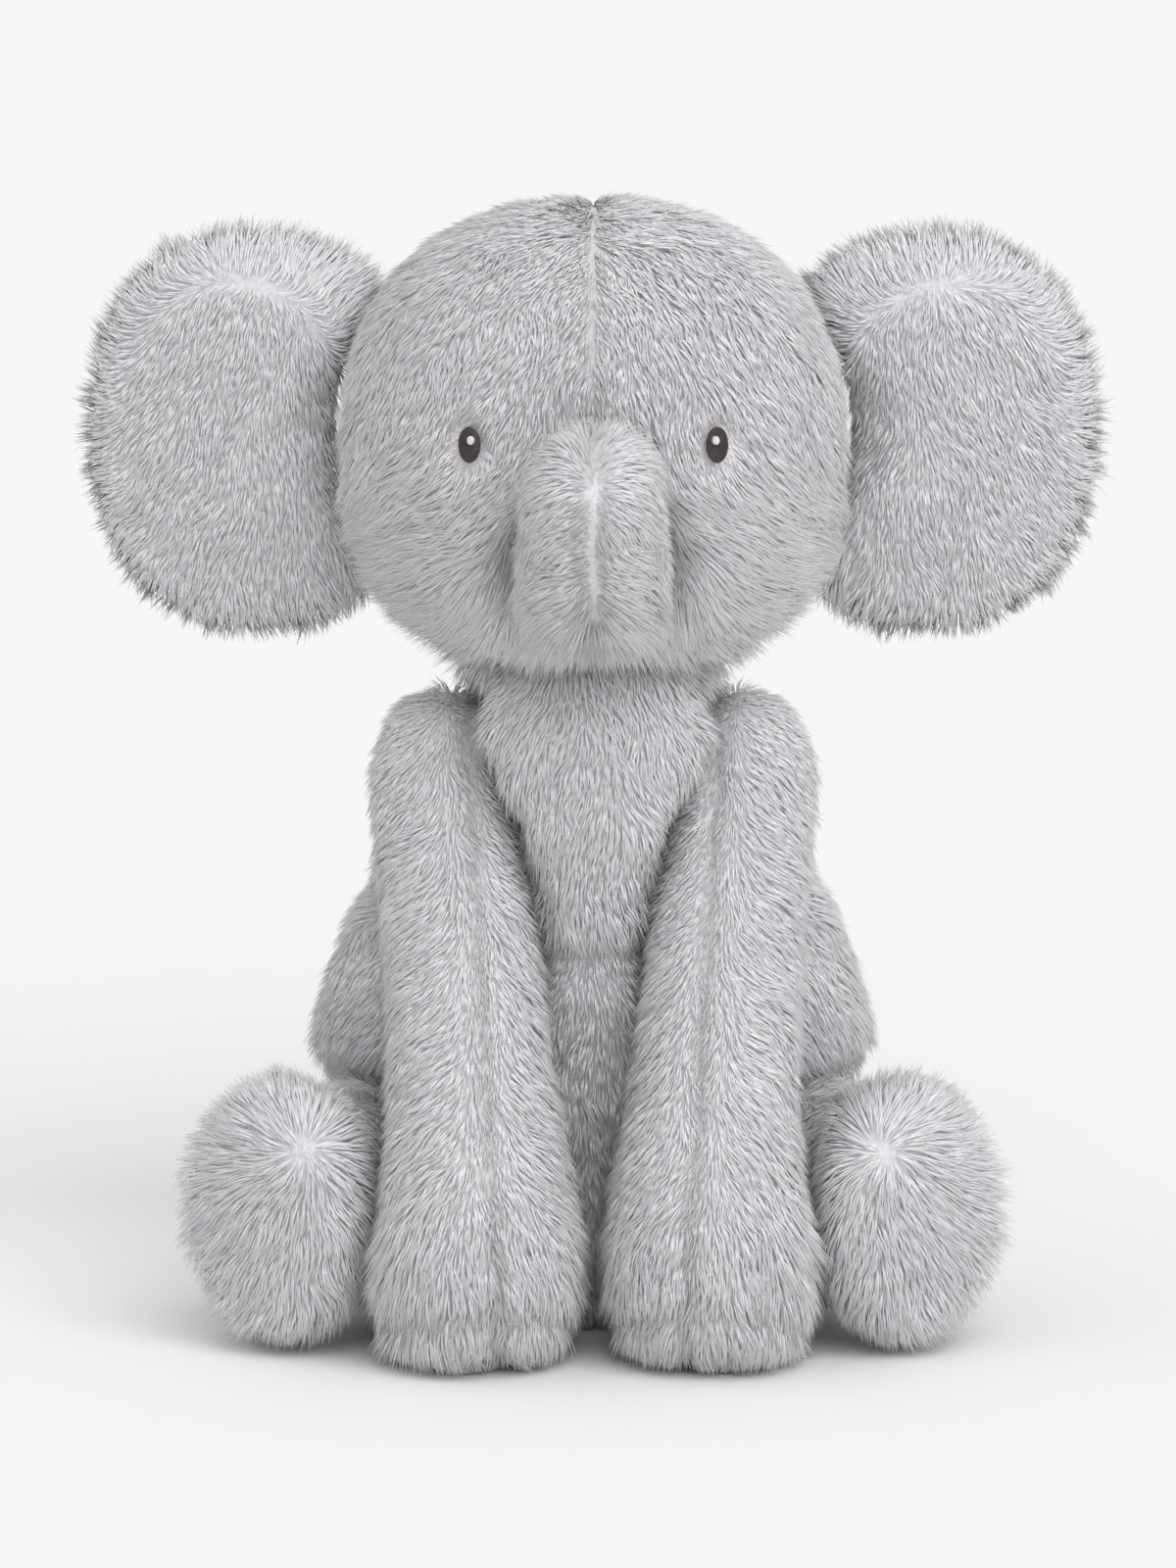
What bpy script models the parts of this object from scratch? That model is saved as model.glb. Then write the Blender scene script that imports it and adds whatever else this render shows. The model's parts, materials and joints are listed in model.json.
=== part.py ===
"""A sitting plush elephant, built as it is sewn: cut panels of pile fabric, loose fibre filling,
a bag of pellets in the seat, embroidered eyes and the thread loops of its soft joints.

Metres, +Z up, the toy faces -Y and its own left is +X. The origin is on the floor under the
middle of its box. Every stuffed form is a function of a place round it (u) and along it (v) and
of an inset, so a panel, its lining side and the filling behind it all come from one shape.
"""

import math

import bmesh
import bpy
import numpy as np

# ---- cloth and room ----------------------------------------------------------------------------
WALL = 0.0016  # pile fabric with its backing
LAYER_GAP = 0.0006  # slack between a cover and what lies under it
SEAM_GAP = 0.0005  # between two cut panels, where the seam runs
JOINT_GAP = 0.0034  # room between a limb and what it is sewn to
TORSO_GAP = 1.3 * JOINT_GAP  # and at the torso, whose cover creases there
FLARE = 1.5  # how fast a dent opens outwards past the limb that lies in it
FILL_INSET = WALL + 2 * LAYER_GAP

# ---- torso -------------------------------------------------------------------------------------
FRAME_Y = 0.0149  # puts the middle of the toy's box on the origin
TORSO_WIDTH = 0.150
TORSO_DEPTH = 0.096
TORSO_Y = 0.018 + FRAME_Y
NECK_PIVOT = (0.0, -0.004 + FRAME_Y, 0.150)
NECK_RADIUS = 0.0425
NECK_EDGE = math.radians(12)  # where the shoulders run into the round neck
# height over the neck pivot's height, half width and half depth as shares of the torso's, and
# how far the ring's middle lies in front of TORSO_Y
TORSO_RINGS = (
    (0.000, 0.76, 0.72, 0.000),
    (0.030, 0.87, 0.84, 0.000),
    (0.110, 0.96, 0.95, 0.000),
    (0.300, 1.00, 1.00, 0.000),
    (0.500, 0.96, 0.96, 0.003),
    (0.640, 0.88, 0.89, 0.008),
    (0.770, 0.79, 0.84, 0.014),
    (0.880, 0.71, 0.84, 0.019),
    (0.950, 0.65, 0.83, 0.0215),
)
CHEST_TURN = 3 / 32  # the chest and belly panels reach this share of a turn to each side
CHEST_SEAM_Z = 0.103
PELLET_TOP = 0.030
COVER_TOP = 0.955  # the cover is open above this v, where the head is sewn on
TORSO_CROWD = 1.3  # above 1, places lie closer together near the seat
TORSO_SEAT = 0.10  # v spent on the flat seat
TORSO_DOME = 0.85  # and where the round neck starts

# ---- head --------------------------------------------------------------------------------------
HEAD_CENTRE = (0.0, -0.013 + FRAME_Y, 0.233)
HEAD_HALF = (0.063, 0.057, 0.059)
FACE_PULL = 0.07  # how much closer the head's places lie in front
HEAD_SQUARE = 2.25  # 2 is a plain ellipsoid, more has fuller cheeks
EYE_X = 0.0300
EYE_Z = 0.2345
EYE_HALF = (0.0029, 0.0045)
EYE_THICK = 0.0012
GLINT_HALF = (0.0009, 0.0011)
GLINT_IN = 0.0009  # from the eye's middle towards the trunk
GLINT_UP = 0.0012
GLINT_THICK = 0.0005

# ---- trunk -------------------------------------------------------------------------------------
TRUNK_ROOT = (0.0, -0.065 + FRAME_Y, 0.203)
TRUNK_RADIUS = 0.0180
TRUNK_TIP_RADIUS = 0.0160
TRUNK_REACH = 0.030  # how far the tip's middle stands in front of the root's
TRUNK_RISE = 0.022

# ---- ears --------------------------------------------------------------------------------------
EAR_HINGE = (0.0620, 0.004 + FRAME_Y, 0.232)
EAR_SWEEP = math.radians(8)  # the outer edge lies this far back
EAR_HALF_WIDTH = 0.0430
EAR_HALF_HEIGHT = 0.0510
EAR_OUT = 0.0260  # the ear's middle, out from its hinge
EAR_HALF_THICK = 0.0080
EAR_SQUARE = 2.3
EAR_TURN = (math.radians(-20), math.radians(25))  # back and forward about the hinge

# ---- front legs --------------------------------------------------------------------------------
SHOULDER = (0.0385, -0.009 + FRAME_Y, 0.1485)
SHOULDER_RADIUS = 0.0180
PAW_X = 0.0290
PAW_Y = -0.058 + FRAME_Y
PAW_HALF_WIDTH = 0.0250
PAW_HALF_LENGTH = 0.0280
# height over the shoulder's, how far from the shoulder's place (0) to the paw's (1), and half
# width and half length as shares of the paw's
FRONT_LEG_RINGS = (
    (0.000, 0.84, 0.74, 0.64),
    (0.040, 0.92, 0.89, 0.84),
    (0.110, 0.98, 0.99, 0.99),
    (0.200, 1.00, 1.00, 1.00),
    (0.300, 0.98, 0.93, 0.91),
    (0.430, 0.86, 0.83, 0.76),
    (0.600, 0.62, 0.77, 0.69),
    (0.800, 0.30, 0.74, 0.65),
)
PAW_SEAM_FRONT = 0.150  # where the sole panel ends at the toe, as a share of the leg's height
PAW_SEAM_BACK = 0.030
LEG_SEAM_TURN = 0.06  # the front seam lies this share of a turn towards the other leg

# ---- hind legs ---------------------------------------------------------------------------------
HIP_RADIUS = 0.0275
HIP_INNER_X = 0.0265  # the thigh comes this close to the toy's middle, clear of the front legs
HIP = (HIP_INNER_X + HIP_RADIUS, -0.003 + FRAME_Y, 0.0350)
HIND_SPLAY = math.radians(31)  # from straight ahead
HIND_LENGTH = 0.0560  # from the hip's middle to the sole
FOOT_HALF_WIDTH = 0.0240
FOOT_HALF_HEIGHT = 0.0320
FOOT_MIDDLE_Z = 0.0370
ANKLE_SHARE = 0.86  # the ankle's half size as a share of the foot's
SOLE_SEAM = 0.86  # the sole panel starts here along the leg

# ---- tail --------------------------------------------------------------------------------------
TAIL_ROOT_Z = 0.052
TAIL_LENGTH = 0.040
TAIL_HALF = (0.0055, 0.0045)
TAIL_LEAN = math.radians(9)

# ---- thread and label --------------------------------------------------------------------------
THREAD_RADIUS = 0.0005
LOOP_SHARE = 0.4  # where a thread loop lies in the room round a joint
LABEL_SIZE = (0.0006, 0.016, 0.022)
LABEL_TURN = 0.36  # round the torso, from the front to the left
LABEL_V = 0.20
LABEL_STAND = 0.02 * TORSO_WIDTH  # a wider torso slopes more behind the label

SIDES = ((1, "left"), (-1, "right"))
LEG_FLAT = 1 / 12  # v of a front leg spent on its flat sole
LEG_SPAN = 9 / 12  # and from there up to the shoulder's middle

COLOURS = {
    "plush": (0.46, 0.45, 0.47, 0.95),
    "filling": (0.86, 0.86, 0.84, 0.9),
    "pellet_cloth": (0.75, 0.73, 0.68, 0.85),
    "dark_thread": (0.045, 0.03, 0.03, 0.45),
    "white_thread": (0.85, 0.85, 0.85, 0.4),
    "grey_thread": (0.4, 0.4, 0.42, 0.6),
    "satin": (0.8, 0.8, 0.8, 0.4),
}


# ---- helpers -----------------------------------------------------------------------------------
def finish_of(slot):
    """The material of one colour slot: a Principled BSDF with its colour and roughness."""
    made = bpy.data.materials.get(slot)
    if made is None:
        made = bpy.data.materials.new(slot)
        made.use_nodes = True
        red, green, blue, rough = COLOURS[slot]
        shader = made.node_tree.nodes["Principled BSDF"]
        shader.inputs["Base Color"].default_value = (red, green, blue, 1)
        shader.inputs["Roughness"].default_value = rough
        shader.inputs["Metallic"].default_value = 0
    return made


def station(table, at):
    """Reads a table of rows (place, value, ...) at places, on a smooth curve through the rows."""
    rows = np.array(table, float)
    knots, values = rows[:, 0], rows[:, 1:]
    slopes = np.gradient(values, knots, axis=0)
    at = np.clip(np.asarray(at, float), knots[0], knots[-1])
    i = np.clip(np.searchsorted(knots, at, side="right") - 1, 0, len(knots) - 2)
    span = (knots[i + 1] - knots[i])[..., None]
    t = (at - knots[i])[..., None] / span
    return (
        (2 * t**3 - 3 * t**2 + 1) * values[i]
        + (t**3 - 2 * t**2 + t) * span * slopes[i]
        + (3 * t**2 - 2 * t**3) * values[i + 1]
        + (t**3 - t**2) * span * slopes[i + 1]
    )


def reach(start, way, middle, half, flare=FLARE):
    """How far rays run from start along way before they meet an ellipsoid. Past its edge the
    limit opens at flare, and a ray that runs away from it has none."""
    p = (start - np.asarray(middle)) / half
    d = way / half
    a, b, c = (d * d).sum(-1), (p * d).sum(-1), (p * p).sum(-1) - 1
    under = b * b - a * c
    missed = np.sqrt(np.maximum(c + 1 - b * b / a, 1)) - 1
    room = (-b - np.sqrt(np.maximum(under, 0))) / a
    room = room + flare * (missed + 8 * missed**2) * np.broadcast_to(half, p.shape)[..., :2].mean(-1)
    return np.where(b < 0, room, np.inf)


def round_way(u):
    """The level direction at a place round a form: 0 is the front and it turns to the left."""
    angle = 2 * math.pi * u
    return np.stack([np.sin(angle), -np.cos(angle), np.zeros_like(angle)], -1)


def sided(point, side):
    """A point of the left side, or its mirror image for side -1."""
    return np.array([point[0] * side, point[1], point[2]])


def build(name, slot, points, faces):
    """A named object of one closed body with its faces turned outwards."""
    mesh = bpy.data.meshes.new(name)
    mesh.from_pydata([tuple(p) for p in points], [], faces)
    work = bmesh.new()
    work.from_mesh(mesh)
    bmesh.ops.recalc_face_normals(work, faces=work.faces)
    work.to_mesh(mesh)
    work.free()
    mesh.shade_smooth()
    mesh.materials.append(finish_of(slot))
    made = bpy.data.objects.new(name, mesh)
    bpy.context.scene.collection.objects.link(made)
    return made


def grid_faces(index, wrap):
    """Triangles over a grid of point numbers. A row that repeats one number is a pole."""
    faces = []
    rows, columns = index.shape
    for r in range(rows - 1):
        for c in range(columns if wrap else columns - 1):
            d = (c + 1) % columns
            first, second = index[r, c], index[r, d]
            third, fourth = index[r + 1, d], index[r + 1, c]
            if first != second:
                faces.append([int(first), int(second), int(third)])
            if third != fourth:
                faces.append([int(first), int(third), int(fourth)])
    return faces


def numbered(grid, first):
    """Point numbers for a grid of places, one number for a row that is a single place."""
    index = np.zeros(grid.shape[:2], int)
    points = []
    for r, row in enumerate(grid):
        if np.ptp(row, axis=0).max() < 1e-7:
            index[r] = first + len(points)
            points.append(row[0])
        else:
            index[r] = first + len(points) + np.arange(len(row))
            points.extend(row)
    return index, points


def stops(low, high, steps):
    """low, the marks of an even scale that fall between, and high, so that two pieces cut from
    one shape bend at the same places."""
    marks = np.arange(math.ceil(low * steps), math.floor(high * steps) + 1) / steps
    near = 0.3 / steps
    return np.array([low, *marks[(marks > low + near) & (marks < high - near)], high])


def filling(name, slot, shape, around, rows, inset=FILL_INSET):
    """A closed solid of a shape, drawn in by an inset. A cut end is closed flat."""
    u = np.arange(around) / around
    index, points = numbered(shape(u[None, :], rows[:, None], inset), 0)
    faces = grid_faces(index, True)
    for end in (index[0], index[-1]):
        if len(set(end)) > 1:
            faces.append([int(p) for p in end])
    return build(name, slot, points, faces)


def panel(name, slot, shape, around, rows, u_range=None):
    """One cut piece of cloth: the patch of a shape over u_range and over rows of v, with its wall
    inwards. With no u_range it runs all the way round. rows may be a function of u."""
    wrap = u_range is None
    u = np.arange(around) / around if wrap else stops(*u_range, around)
    v = rows(u) if callable(rows) else rows[:, None]
    outer, points = numbered(shape(u[None, :], v, 0.0), 0)
    inner, more = numbered(shape(u[None, :], v, WALL), len(points))
    faces = grid_faces(outer, wrap) + grid_faces(inner, wrap)
    for row in (0, -1):
        if len(set(outer[row])) > 1:
            faces += grid_faces(np.array([inner[row], outer[row]]), wrap)
    if not wrap:
        for column in (0, -1):
            faces += grid_faces(np.array([inner[:, column], outer[:, column]]), False)
    return build(name, slot, points + more, faces)


def thread_loop(name, middle, axis, radius, tilt, around=20):
    """A loop of thread lying on a ball round middle, its ring tilt away from the axis."""
    axis = np.array(axis, float) / np.linalg.norm(axis)
    side = np.cross(axis, (0.0, 0.0, 1.0) if abs(axis[2]) < 0.9 else (1.0, 0.0, 0.0))
    side /= np.linalg.norm(side)
    other = np.cross(axis, side)
    turn = 2 * math.pi * np.arange(around)[:, None, None] / around
    out = side * np.cos(turn) + other * np.sin(turn)
    twist = 2 * math.pi * np.arange(5)[None, :, None] / 5
    ring = np.array(middle) + axis * radius * math.cos(tilt) + out * radius * math.sin(tilt)
    grid = ring + THREAD_RADIUS * (out * np.cos(twist) + axis * np.sin(twist))
    index = np.arange(around * 5).reshape(around, 5)
    return build(name, "grey_thread", grid.reshape(-1, 3), grid_faces(np.vstack([index, index[:1]]), True))


# ---- shapes ------------------------------------------------------------------------------------
def front_leg_ring(height, inset=0.0):
    """Middle x and y and half width and length of a front leg's level section, left side."""
    top = (1.0, 0.0, SHOULDER_RADIUS / PAW_HALF_WIDTH, SHOULDER_RADIUS / PAW_HALF_LENGTH)
    share = height / SHOULDER[2]
    to_paw, wide, long = np.moveaxis(station(FRONT_LEG_RINGS + (top,), share), -1, 0)
    over = np.clip((height - SHOULDER[2]) / (SHOULDER_RADIUS - inset), 0, 1)
    cap = np.sqrt(1 - over**2)
    x = SHOULDER[0] + (PAW_X - SHOULDER[0]) * to_paw
    y = SHOULDER[1] + (PAW_Y - SHOULDER[1]) * to_paw
    return x, y, (wide * PAW_HALF_WIDTH - inset) * cap, (long * PAW_HALF_LENGTH - inset) * cap


def front_leg_shape(side):
    """A front leg from its flat sole up to the round shoulder, as level elliptic rings."""
    flat, cap = LEG_FLAT, LEG_FLAT + LEG_SPAN

    def shape(u, v, inset):
        u, v = np.broadcast_arrays(u, v)
        turn = np.clip((v - cap) / (1 - cap), 0, 1) * math.pi / 2
        rise = inset + (SHOULDER[2] - inset) * np.clip((v - flat) / (cap - flat), 0, 1)
        height = rise + (SHOULDER_RADIUS - inset) * np.sin(turn)
        x, y, half_x, half_y = front_leg_ring(height, inset)
        spread = np.clip(v / flat, 0, 1)
        way = round_way(u)
        middle = np.stack([x * side, y, height], -1)
        half = np.stack([half_x, half_y, np.zeros_like(half_x)], -1)
        return middle + way * half * spread[..., None]

    return shape


def torso_ring(height, inset):
    """Half width, half depth and middle y of the torso's level section under its round neck."""
    foot_z = NECK_PIVOT[2] + (NECK_RADIUS - inset) * math.sin(NECK_EDGE)
    edge = (NECK_RADIUS - inset) * math.cos(NECK_EDGE) + inset
    rows = [
        (
            share * NECK_PIVOT[2],
            TORSO_WIDTH / 2 * wide,
            TORSO_DEPTH / 2 * deep,
            TORSO_Y - ahead,
        )
        for share, wide, deep, ahead in TORSO_RINGS
    ]
    rows.append((foot_z, edge, edge, NECK_PIVOT[1]))
    half_x, half_y, y = np.moveaxis(station(rows, height), -1, 0)
    return half_x - inset, half_y - inset, y


def torso_room(start, way, height, inset):
    """How far the torso may run from its middle line before it meets a leg's room."""
    room = np.full(height.shape, np.inf)
    grown = TORSO_GAP + inset
    for side in (1, -1):
        x, y, half_x, half_y = front_leg_ring(np.minimum(height, SHOULDER[2]))
        middle = np.stack([x * side, y, height], -1)
        half = np.stack([half_x + grown, half_y + grown, np.ones_like(half_x)], -1)
        beside = np.where(height < SHOULDER[2], reach(start, way, middle, half), np.inf)
        for place, radius in ((SHOULDER, SHOULDER_RADIUS), (HIP, HIP_RADIUS)):
            ball = reach(start, way, sided(place, side), np.full(3, radius + grown))
            room = np.minimum(room, np.minimum(beside, ball))
    return room


def torso_v(height):
    """The v of a height on the torso's side."""
    share = height / (NECK_PIVOT[2] + NECK_RADIUS * math.sin(NECK_EDGE))
    return TORSO_SEAT + (TORSO_DOME - TORSO_SEAT) * share ** (1 / TORSO_CROWD)


def torso_shape(u, v, inset):
    """The torso from its flat seat up to the round neck, hollowed where the legs lie on it."""
    u, v = np.broadcast_arrays(u, v)
    seat, dome = TORSO_SEAT, TORSO_DOME
    top = NECK_PIVOT[2] + (NECK_RADIUS - inset) * math.sin(NECK_EDGE)
    share = np.clip((v - seat) / (dome - seat), 0, 1)
    height = inset + (top - inset) * share**TORSO_CROWD
    half_x, half_y, y = torso_ring(height, inset)
    way = round_way(u)
    start = np.stack([np.zeros_like(y), y, height], -1)
    half = np.stack([half_x, half_y, np.ones_like(half_x)], -1)
    full = 1 / np.sqrt((way[..., :2] ** 2 / half[..., :2] ** 2).sum(-1))
    far = np.minimum(full, torso_room(start, way, height, inset))
    spread = np.clip(v / seat, 0, 1)
    side = start + way * (far * spread)[..., None]
    rise = NECK_EDGE + (math.pi / 2 - NECK_EDGE) * np.clip((v - dome) / (1 - dome), 0, 1)
    ball = np.stack(
        [way[..., 0] * np.cos(rise), way[..., 1] * np.cos(rise), np.sin(rise)], -1
    )
    neck = np.array(NECK_PIVOT) + ball * (NECK_RADIUS - inset)
    return np.where((v > dome)[..., None], neck, side)


def head_shape(u, v, inset):
    """A full ball with hollows under it for the neck and in front for the trunk's root. Its
    places lie closer together on the face."""
    u, v = np.broadcast_arrays(u, v)
    rise = math.pi * (v - 0.5)
    way = round_way(u - FACE_PULL * np.sin(2 * math.pi * u)) * np.cos(rise)[..., None]
    way[..., 2] = np.sin(rise)
    half = np.array(HEAD_HALF) - inset
    full = (np.abs(way / half) ** HEAD_SQUARE).sum(-1) ** (-1 / HEAD_SQUARE)
    start = np.array(HEAD_CENTRE)
    neck = reach(start, way, NECK_PIVOT, np.full(3, NECK_RADIUS + JOINT_GAP + inset))
    trunk = reach(start, way, TRUNK_ROOT, np.full(3, TRUNK_RADIUS + JOINT_GAP + inset))
    return start + way * np.minimum(full, np.minimum(neck, trunk))[..., None]


def trunk_shape(u, v, inset):
    """A short tube that leaves the face forwards and curls up, with a ball at each end."""
    u, v = np.broadcast_arrays(u, v)
    root_end, tip_end = 0.28, 0.74
    back = np.clip(1 - v / root_end, 0, 1) * math.pi / 2
    ahead = np.clip((v - tip_end) / (1 - tip_end), 0, 1) * math.pi / 2
    t = np.clip((v - root_end) / (tip_end - root_end), 0, 1)
    middle = np.stack(
        [
            np.zeros_like(t),
            TRUNK_ROOT[1] - TRUNK_REACH * t,
            TRUNK_ROOT[2] + TRUNK_RISE * t**2,
        ],
        -1,
    )
    slope = np.arctan2(2 * TRUNK_RISE * t, TRUNK_REACH)
    along = np.stack([np.zeros_like(t), -np.cos(slope), np.sin(slope)], -1)
    over = np.stack([np.zeros_like(t), np.sin(slope), np.cos(slope)], -1)
    angle = 2 * math.pi * u
    out = over * np.cos(angle)[..., None]
    out[..., 0] += np.sin(angle)
    radius = TRUNK_RADIUS + (TRUNK_TIP_RADIUS - TRUNK_RADIUS) * t - inset
    ring = out * (radius * np.cos(back) * np.cos(ahead))[..., None]
    return middle + ring + along * (radius * (np.sin(ahead) - np.sin(back)))[..., None]


def ear_frame(side):
    """The hinge's place, the way out along the ear and the way through it."""
    out = np.array([math.cos(EAR_SWEEP) * side, math.sin(EAR_SWEEP), 0.0])
    through = np.array([-math.sin(EAR_SWEEP) * side, math.cos(EAR_SWEEP), 0.0])
    return sided(EAR_HINGE, side), out, through


def ear_shape(side):
    """A flat cushion: v runs from the middle of the front over the rim to the middle of the
    back. Its outline is a full oval that keeps clear of the head as the ear turns."""

    def shape(u, v, inset):
        u, v = np.broadcast_arrays(u, v)
        hinge, out, through = ear_frame(side)
        level = np.array([0.0, 0.0, 1.0])
        middle = hinge + out * EAR_OUT
        angle = 2 * math.pi * u
        across, up = np.sin(angle), np.cos(angle)
        half = np.array([EAR_HALF_WIDTH, EAR_HALF_HEIGHT]) - inset
        power = EAR_SQUARE
        full = np.abs(across / half[0]) ** power + np.abs(up / half[1]) ** power
        far = full ** (-1 / power)
        room = np.array(HEAD_HALF) * 1.02 + JOINT_GAP + inset
        for turn in (*EAR_TURN, 0.0):
            turned_out = out * math.cos(turn) - through * math.sin(turn)
            turned_through = through * math.cos(turn) + out * math.sin(turn)
            ray = turned_out * across[..., None] + level * up[..., None]
            for depth in (-0.5, 0.0, 0.5):
                start = hinge + turned_out * EAR_OUT + turned_through * EAR_HALF_THICK * depth
                far = np.minimum(far, reach(start, ray, HEAD_CENTRE, room, 12))
        over = math.pi * v
        way = out * across[..., None] + level * up[..., None]
        thick = np.cos(over) * (EAR_HALF_THICK - inset)
        spread = np.sin(over) ** 0.8
        return middle + way * (far * spread)[..., None] - through * thick[..., None]

    return shape


def hind_leg_way(side):
    return np.array([math.sin(HIND_SPLAY) * side, -math.cos(HIND_SPLAY), 0.0])


def hind_leg_shape(side):
    """From a ball at the hip along the leg to a domed round sole."""
    ball_end = 0.36  # v spent on the half ball at the hip
    flat_from = 0.90

    def shape(u, v, inset):
        u, v = np.broadcast_arrays(u, v)
        back = np.clip(1 - v / ball_end, 0, 1) * math.pi / 2
        t = np.clip((v - ball_end) / (flat_from - ball_end), 0, 1)
        rows = (
            (0.00, HIP_RADIUS, HIP_RADIUS, 0.0),
            (0.30, HIP_RADIUS * 0.94, HIP_RADIUS * 0.96, 0.25),
            (0.55, FOOT_HALF_WIDTH * ANKLE_SHARE, FOOT_HALF_HEIGHT * ANKLE_SHARE, 0.6),
            (0.75, FOOT_HALF_WIDTH * 0.96, FOOT_HALF_HEIGHT * 0.97, 0.9),
            (0.90, FOOT_HALF_WIDTH, FOOT_HALF_HEIGHT, 1.0),
            (1.00, FOOT_HALF_WIDTH * 0.93, FOOT_HALF_HEIGHT * 0.93, 1.0),
        )
        wide, tall, to_foot = np.moveaxis(station(rows, t), -1, 0)
        dome = np.clip((v - flat_from) / (1 - flat_from), 0, 1)
        spread = np.cos(back) * np.sqrt(np.maximum(1 - dome**2, 0))
        ahead = hind_leg_way(side)
        across = np.array([math.cos(HIND_SPLAY) * side, math.sin(HIND_SPLAY), 0.0])
        far = (HIND_LENGTH - inset) * t + 0.005 * (1 - (1 - dome) ** 2)
        far = far - (HIP_RADIUS - inset) * np.sin(back)
        hip = sided(HIP, side)
        drop = (FOOT_MIDDLE_Z - HIP[2]) * to_foot
        middle = hip + ahead * far[..., None] + np.array([0, 0, 1.0]) * drop[..., None]
        angle = 2 * math.pi * u
        ring = across * (np.sin(angle) * (wide - inset) * spread)[..., None]
        ring = ring + np.array([0, 0, 1.0]) * (np.cos(angle) * (tall - inset) * spread)[..., None]
        return middle + ring

    return shape


def tail_shape(u, v, inset):
    """A small flat tube that hangs down the back, round at both ends."""
    u, v = np.broadcast_arrays(u, v)
    back_y = TORSO_Y + TORSO_DEPTH / 2 + JOINT_GAP / 2 + TAIL_HALF[1]
    down = np.array([0.0, math.sin(TAIL_LEAN), -math.cos(TAIL_LEAN)])
    out = np.array([0.0, math.cos(TAIL_LEAN), math.sin(TAIL_LEAN)])
    turn = math.pi * v
    half = np.array(TAIL_HALF) - inset
    spread = np.sin(turn) ** 0.6
    along = TAIL_LENGTH / 2 - (TAIL_LENGTH / 2 - inset) * np.cos(turn)
    root = np.array([0.0, back_y, TAIL_ROOT_Z])
    angle = 2 * math.pi * u
    ring = out * (-np.cos(angle) * half[1] * spread)[..., None]
    ring[..., 0] += np.sin(angle) * half[0] * spread
    return root + down * along[..., None] + ring


def on_face(x, z):
    """A place on the front of the head and the way out of it there."""
    start = np.array(HEAD_CENTRE)
    aim = np.array([x, 0.0, z])
    depth = 1 - abs((x - start[0]) / HEAD_HALF[0]) ** HEAD_SQUARE
    depth -= abs((z - start[2]) / HEAD_HALF[2]) ** HEAD_SQUARE
    aim[1] = start[1] - HEAD_HALF[1] * depth ** (1 / HEAD_SQUARE)
    steep = np.abs((aim - start) / HEAD_HALF) ** (HEAD_SQUARE - 1)
    out = np.sign(aim - start) * steep / HEAD_HALF
    return aim, out / np.linalg.norm(out)


def patch_shape(x, z, half, thick, rise):
    """A lens of satin stitches over the face: v runs from its back to its front."""
    aim, out = on_face(x, z)
    across = np.cross(out, (0, 0, 1.0))
    across /= np.linalg.norm(across)
    up = np.cross(across, out)

    def shape(u, v, inset):
        u, v = np.broadcast_arrays(u, v)
        angle = 2 * math.pi * u
        turn = math.pi * v
        ring = across * (np.sin(angle) * half[0])[..., None]
        ring = ring + up * (np.cos(angle) * half[1])[..., None]
        high = rise + thick / 2 * (1 - np.cos(turn))
        return aim + ring * np.sin(turn)[..., None] + out * high[..., None]

    return shape


# ---- the toy -----------------------------------------------------------------------------------
def seam_share(width):
    """Half a seam's gap as a share of the way round a form this wide."""
    return SEAM_GAP / (math.pi * width)


def make_torso():
    gap = seam_share(TORSO_DEPTH)
    step = SEAM_GAP / NECK_PIVOT[2]
    seat = TORSO_SEAT - step
    around, along = 32, 20
    front = (-CHEST_TURN + gap, CHEST_TURN - gap)
    low = stops(seat + step, torso_v(CHEST_SEAM_Z) - step, along)
    high = stops(torso_v(CHEST_SEAM_Z) + step, COVER_TOP, along)
    panel("belly_panel", "plush", torso_shape, around, low, front)
    panel("chest_panel", "plush", torso_shape, around, high, front)
    whole = stops(seat + step, COVER_TOP, along)
    for side, name in SIDES:
        edges = sorted((side * (CHEST_TURN + gap), side * (0.5 - gap)))
        panel(f"back_panel_{name}", "plush", torso_shape, around, whole, edges)
    panel("seat_panel", "plush", torso_shape, around, stops(0.0, seat - step, along))
    split = torso_v(PELLET_TOP)
    above = stops(split + 2 * step, 1.0, along)
    below = stops(0.0, split - 2 * step, along)
    filling("torso_filling", "filling", torso_shape, around, above)
    slack = FILL_INSET + 4 * LAYER_GAP
    filling("pellet_bag", "pellet_cloth", torso_shape, around, below, slack)


def make_label():
    """A blank ribbon label whose short edge is caught in the back seam of the seat."""
    thick, wide, tall = LABEL_SIZE
    root = torso_shape(np.array(LABEL_TURN), np.array(LABEL_V), 0.0)
    out = round_way(np.array(LABEL_TURN))
    bpy.ops.mesh.primitive_cube_add(size=1)
    label = bpy.context.active_object
    label.name = "care_label"
    label.scale = (wide, thick, tall)
    bpy.ops.object.transform_apply(location=False, rotation=False, scale=True)
    label.rotation_euler = (0, 0, math.atan2(out[1], out[0]))
    label.location = root + out * (wide / 2 + LABEL_STAND)
    label.data.materials.append(finish_of("satin"))


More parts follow.
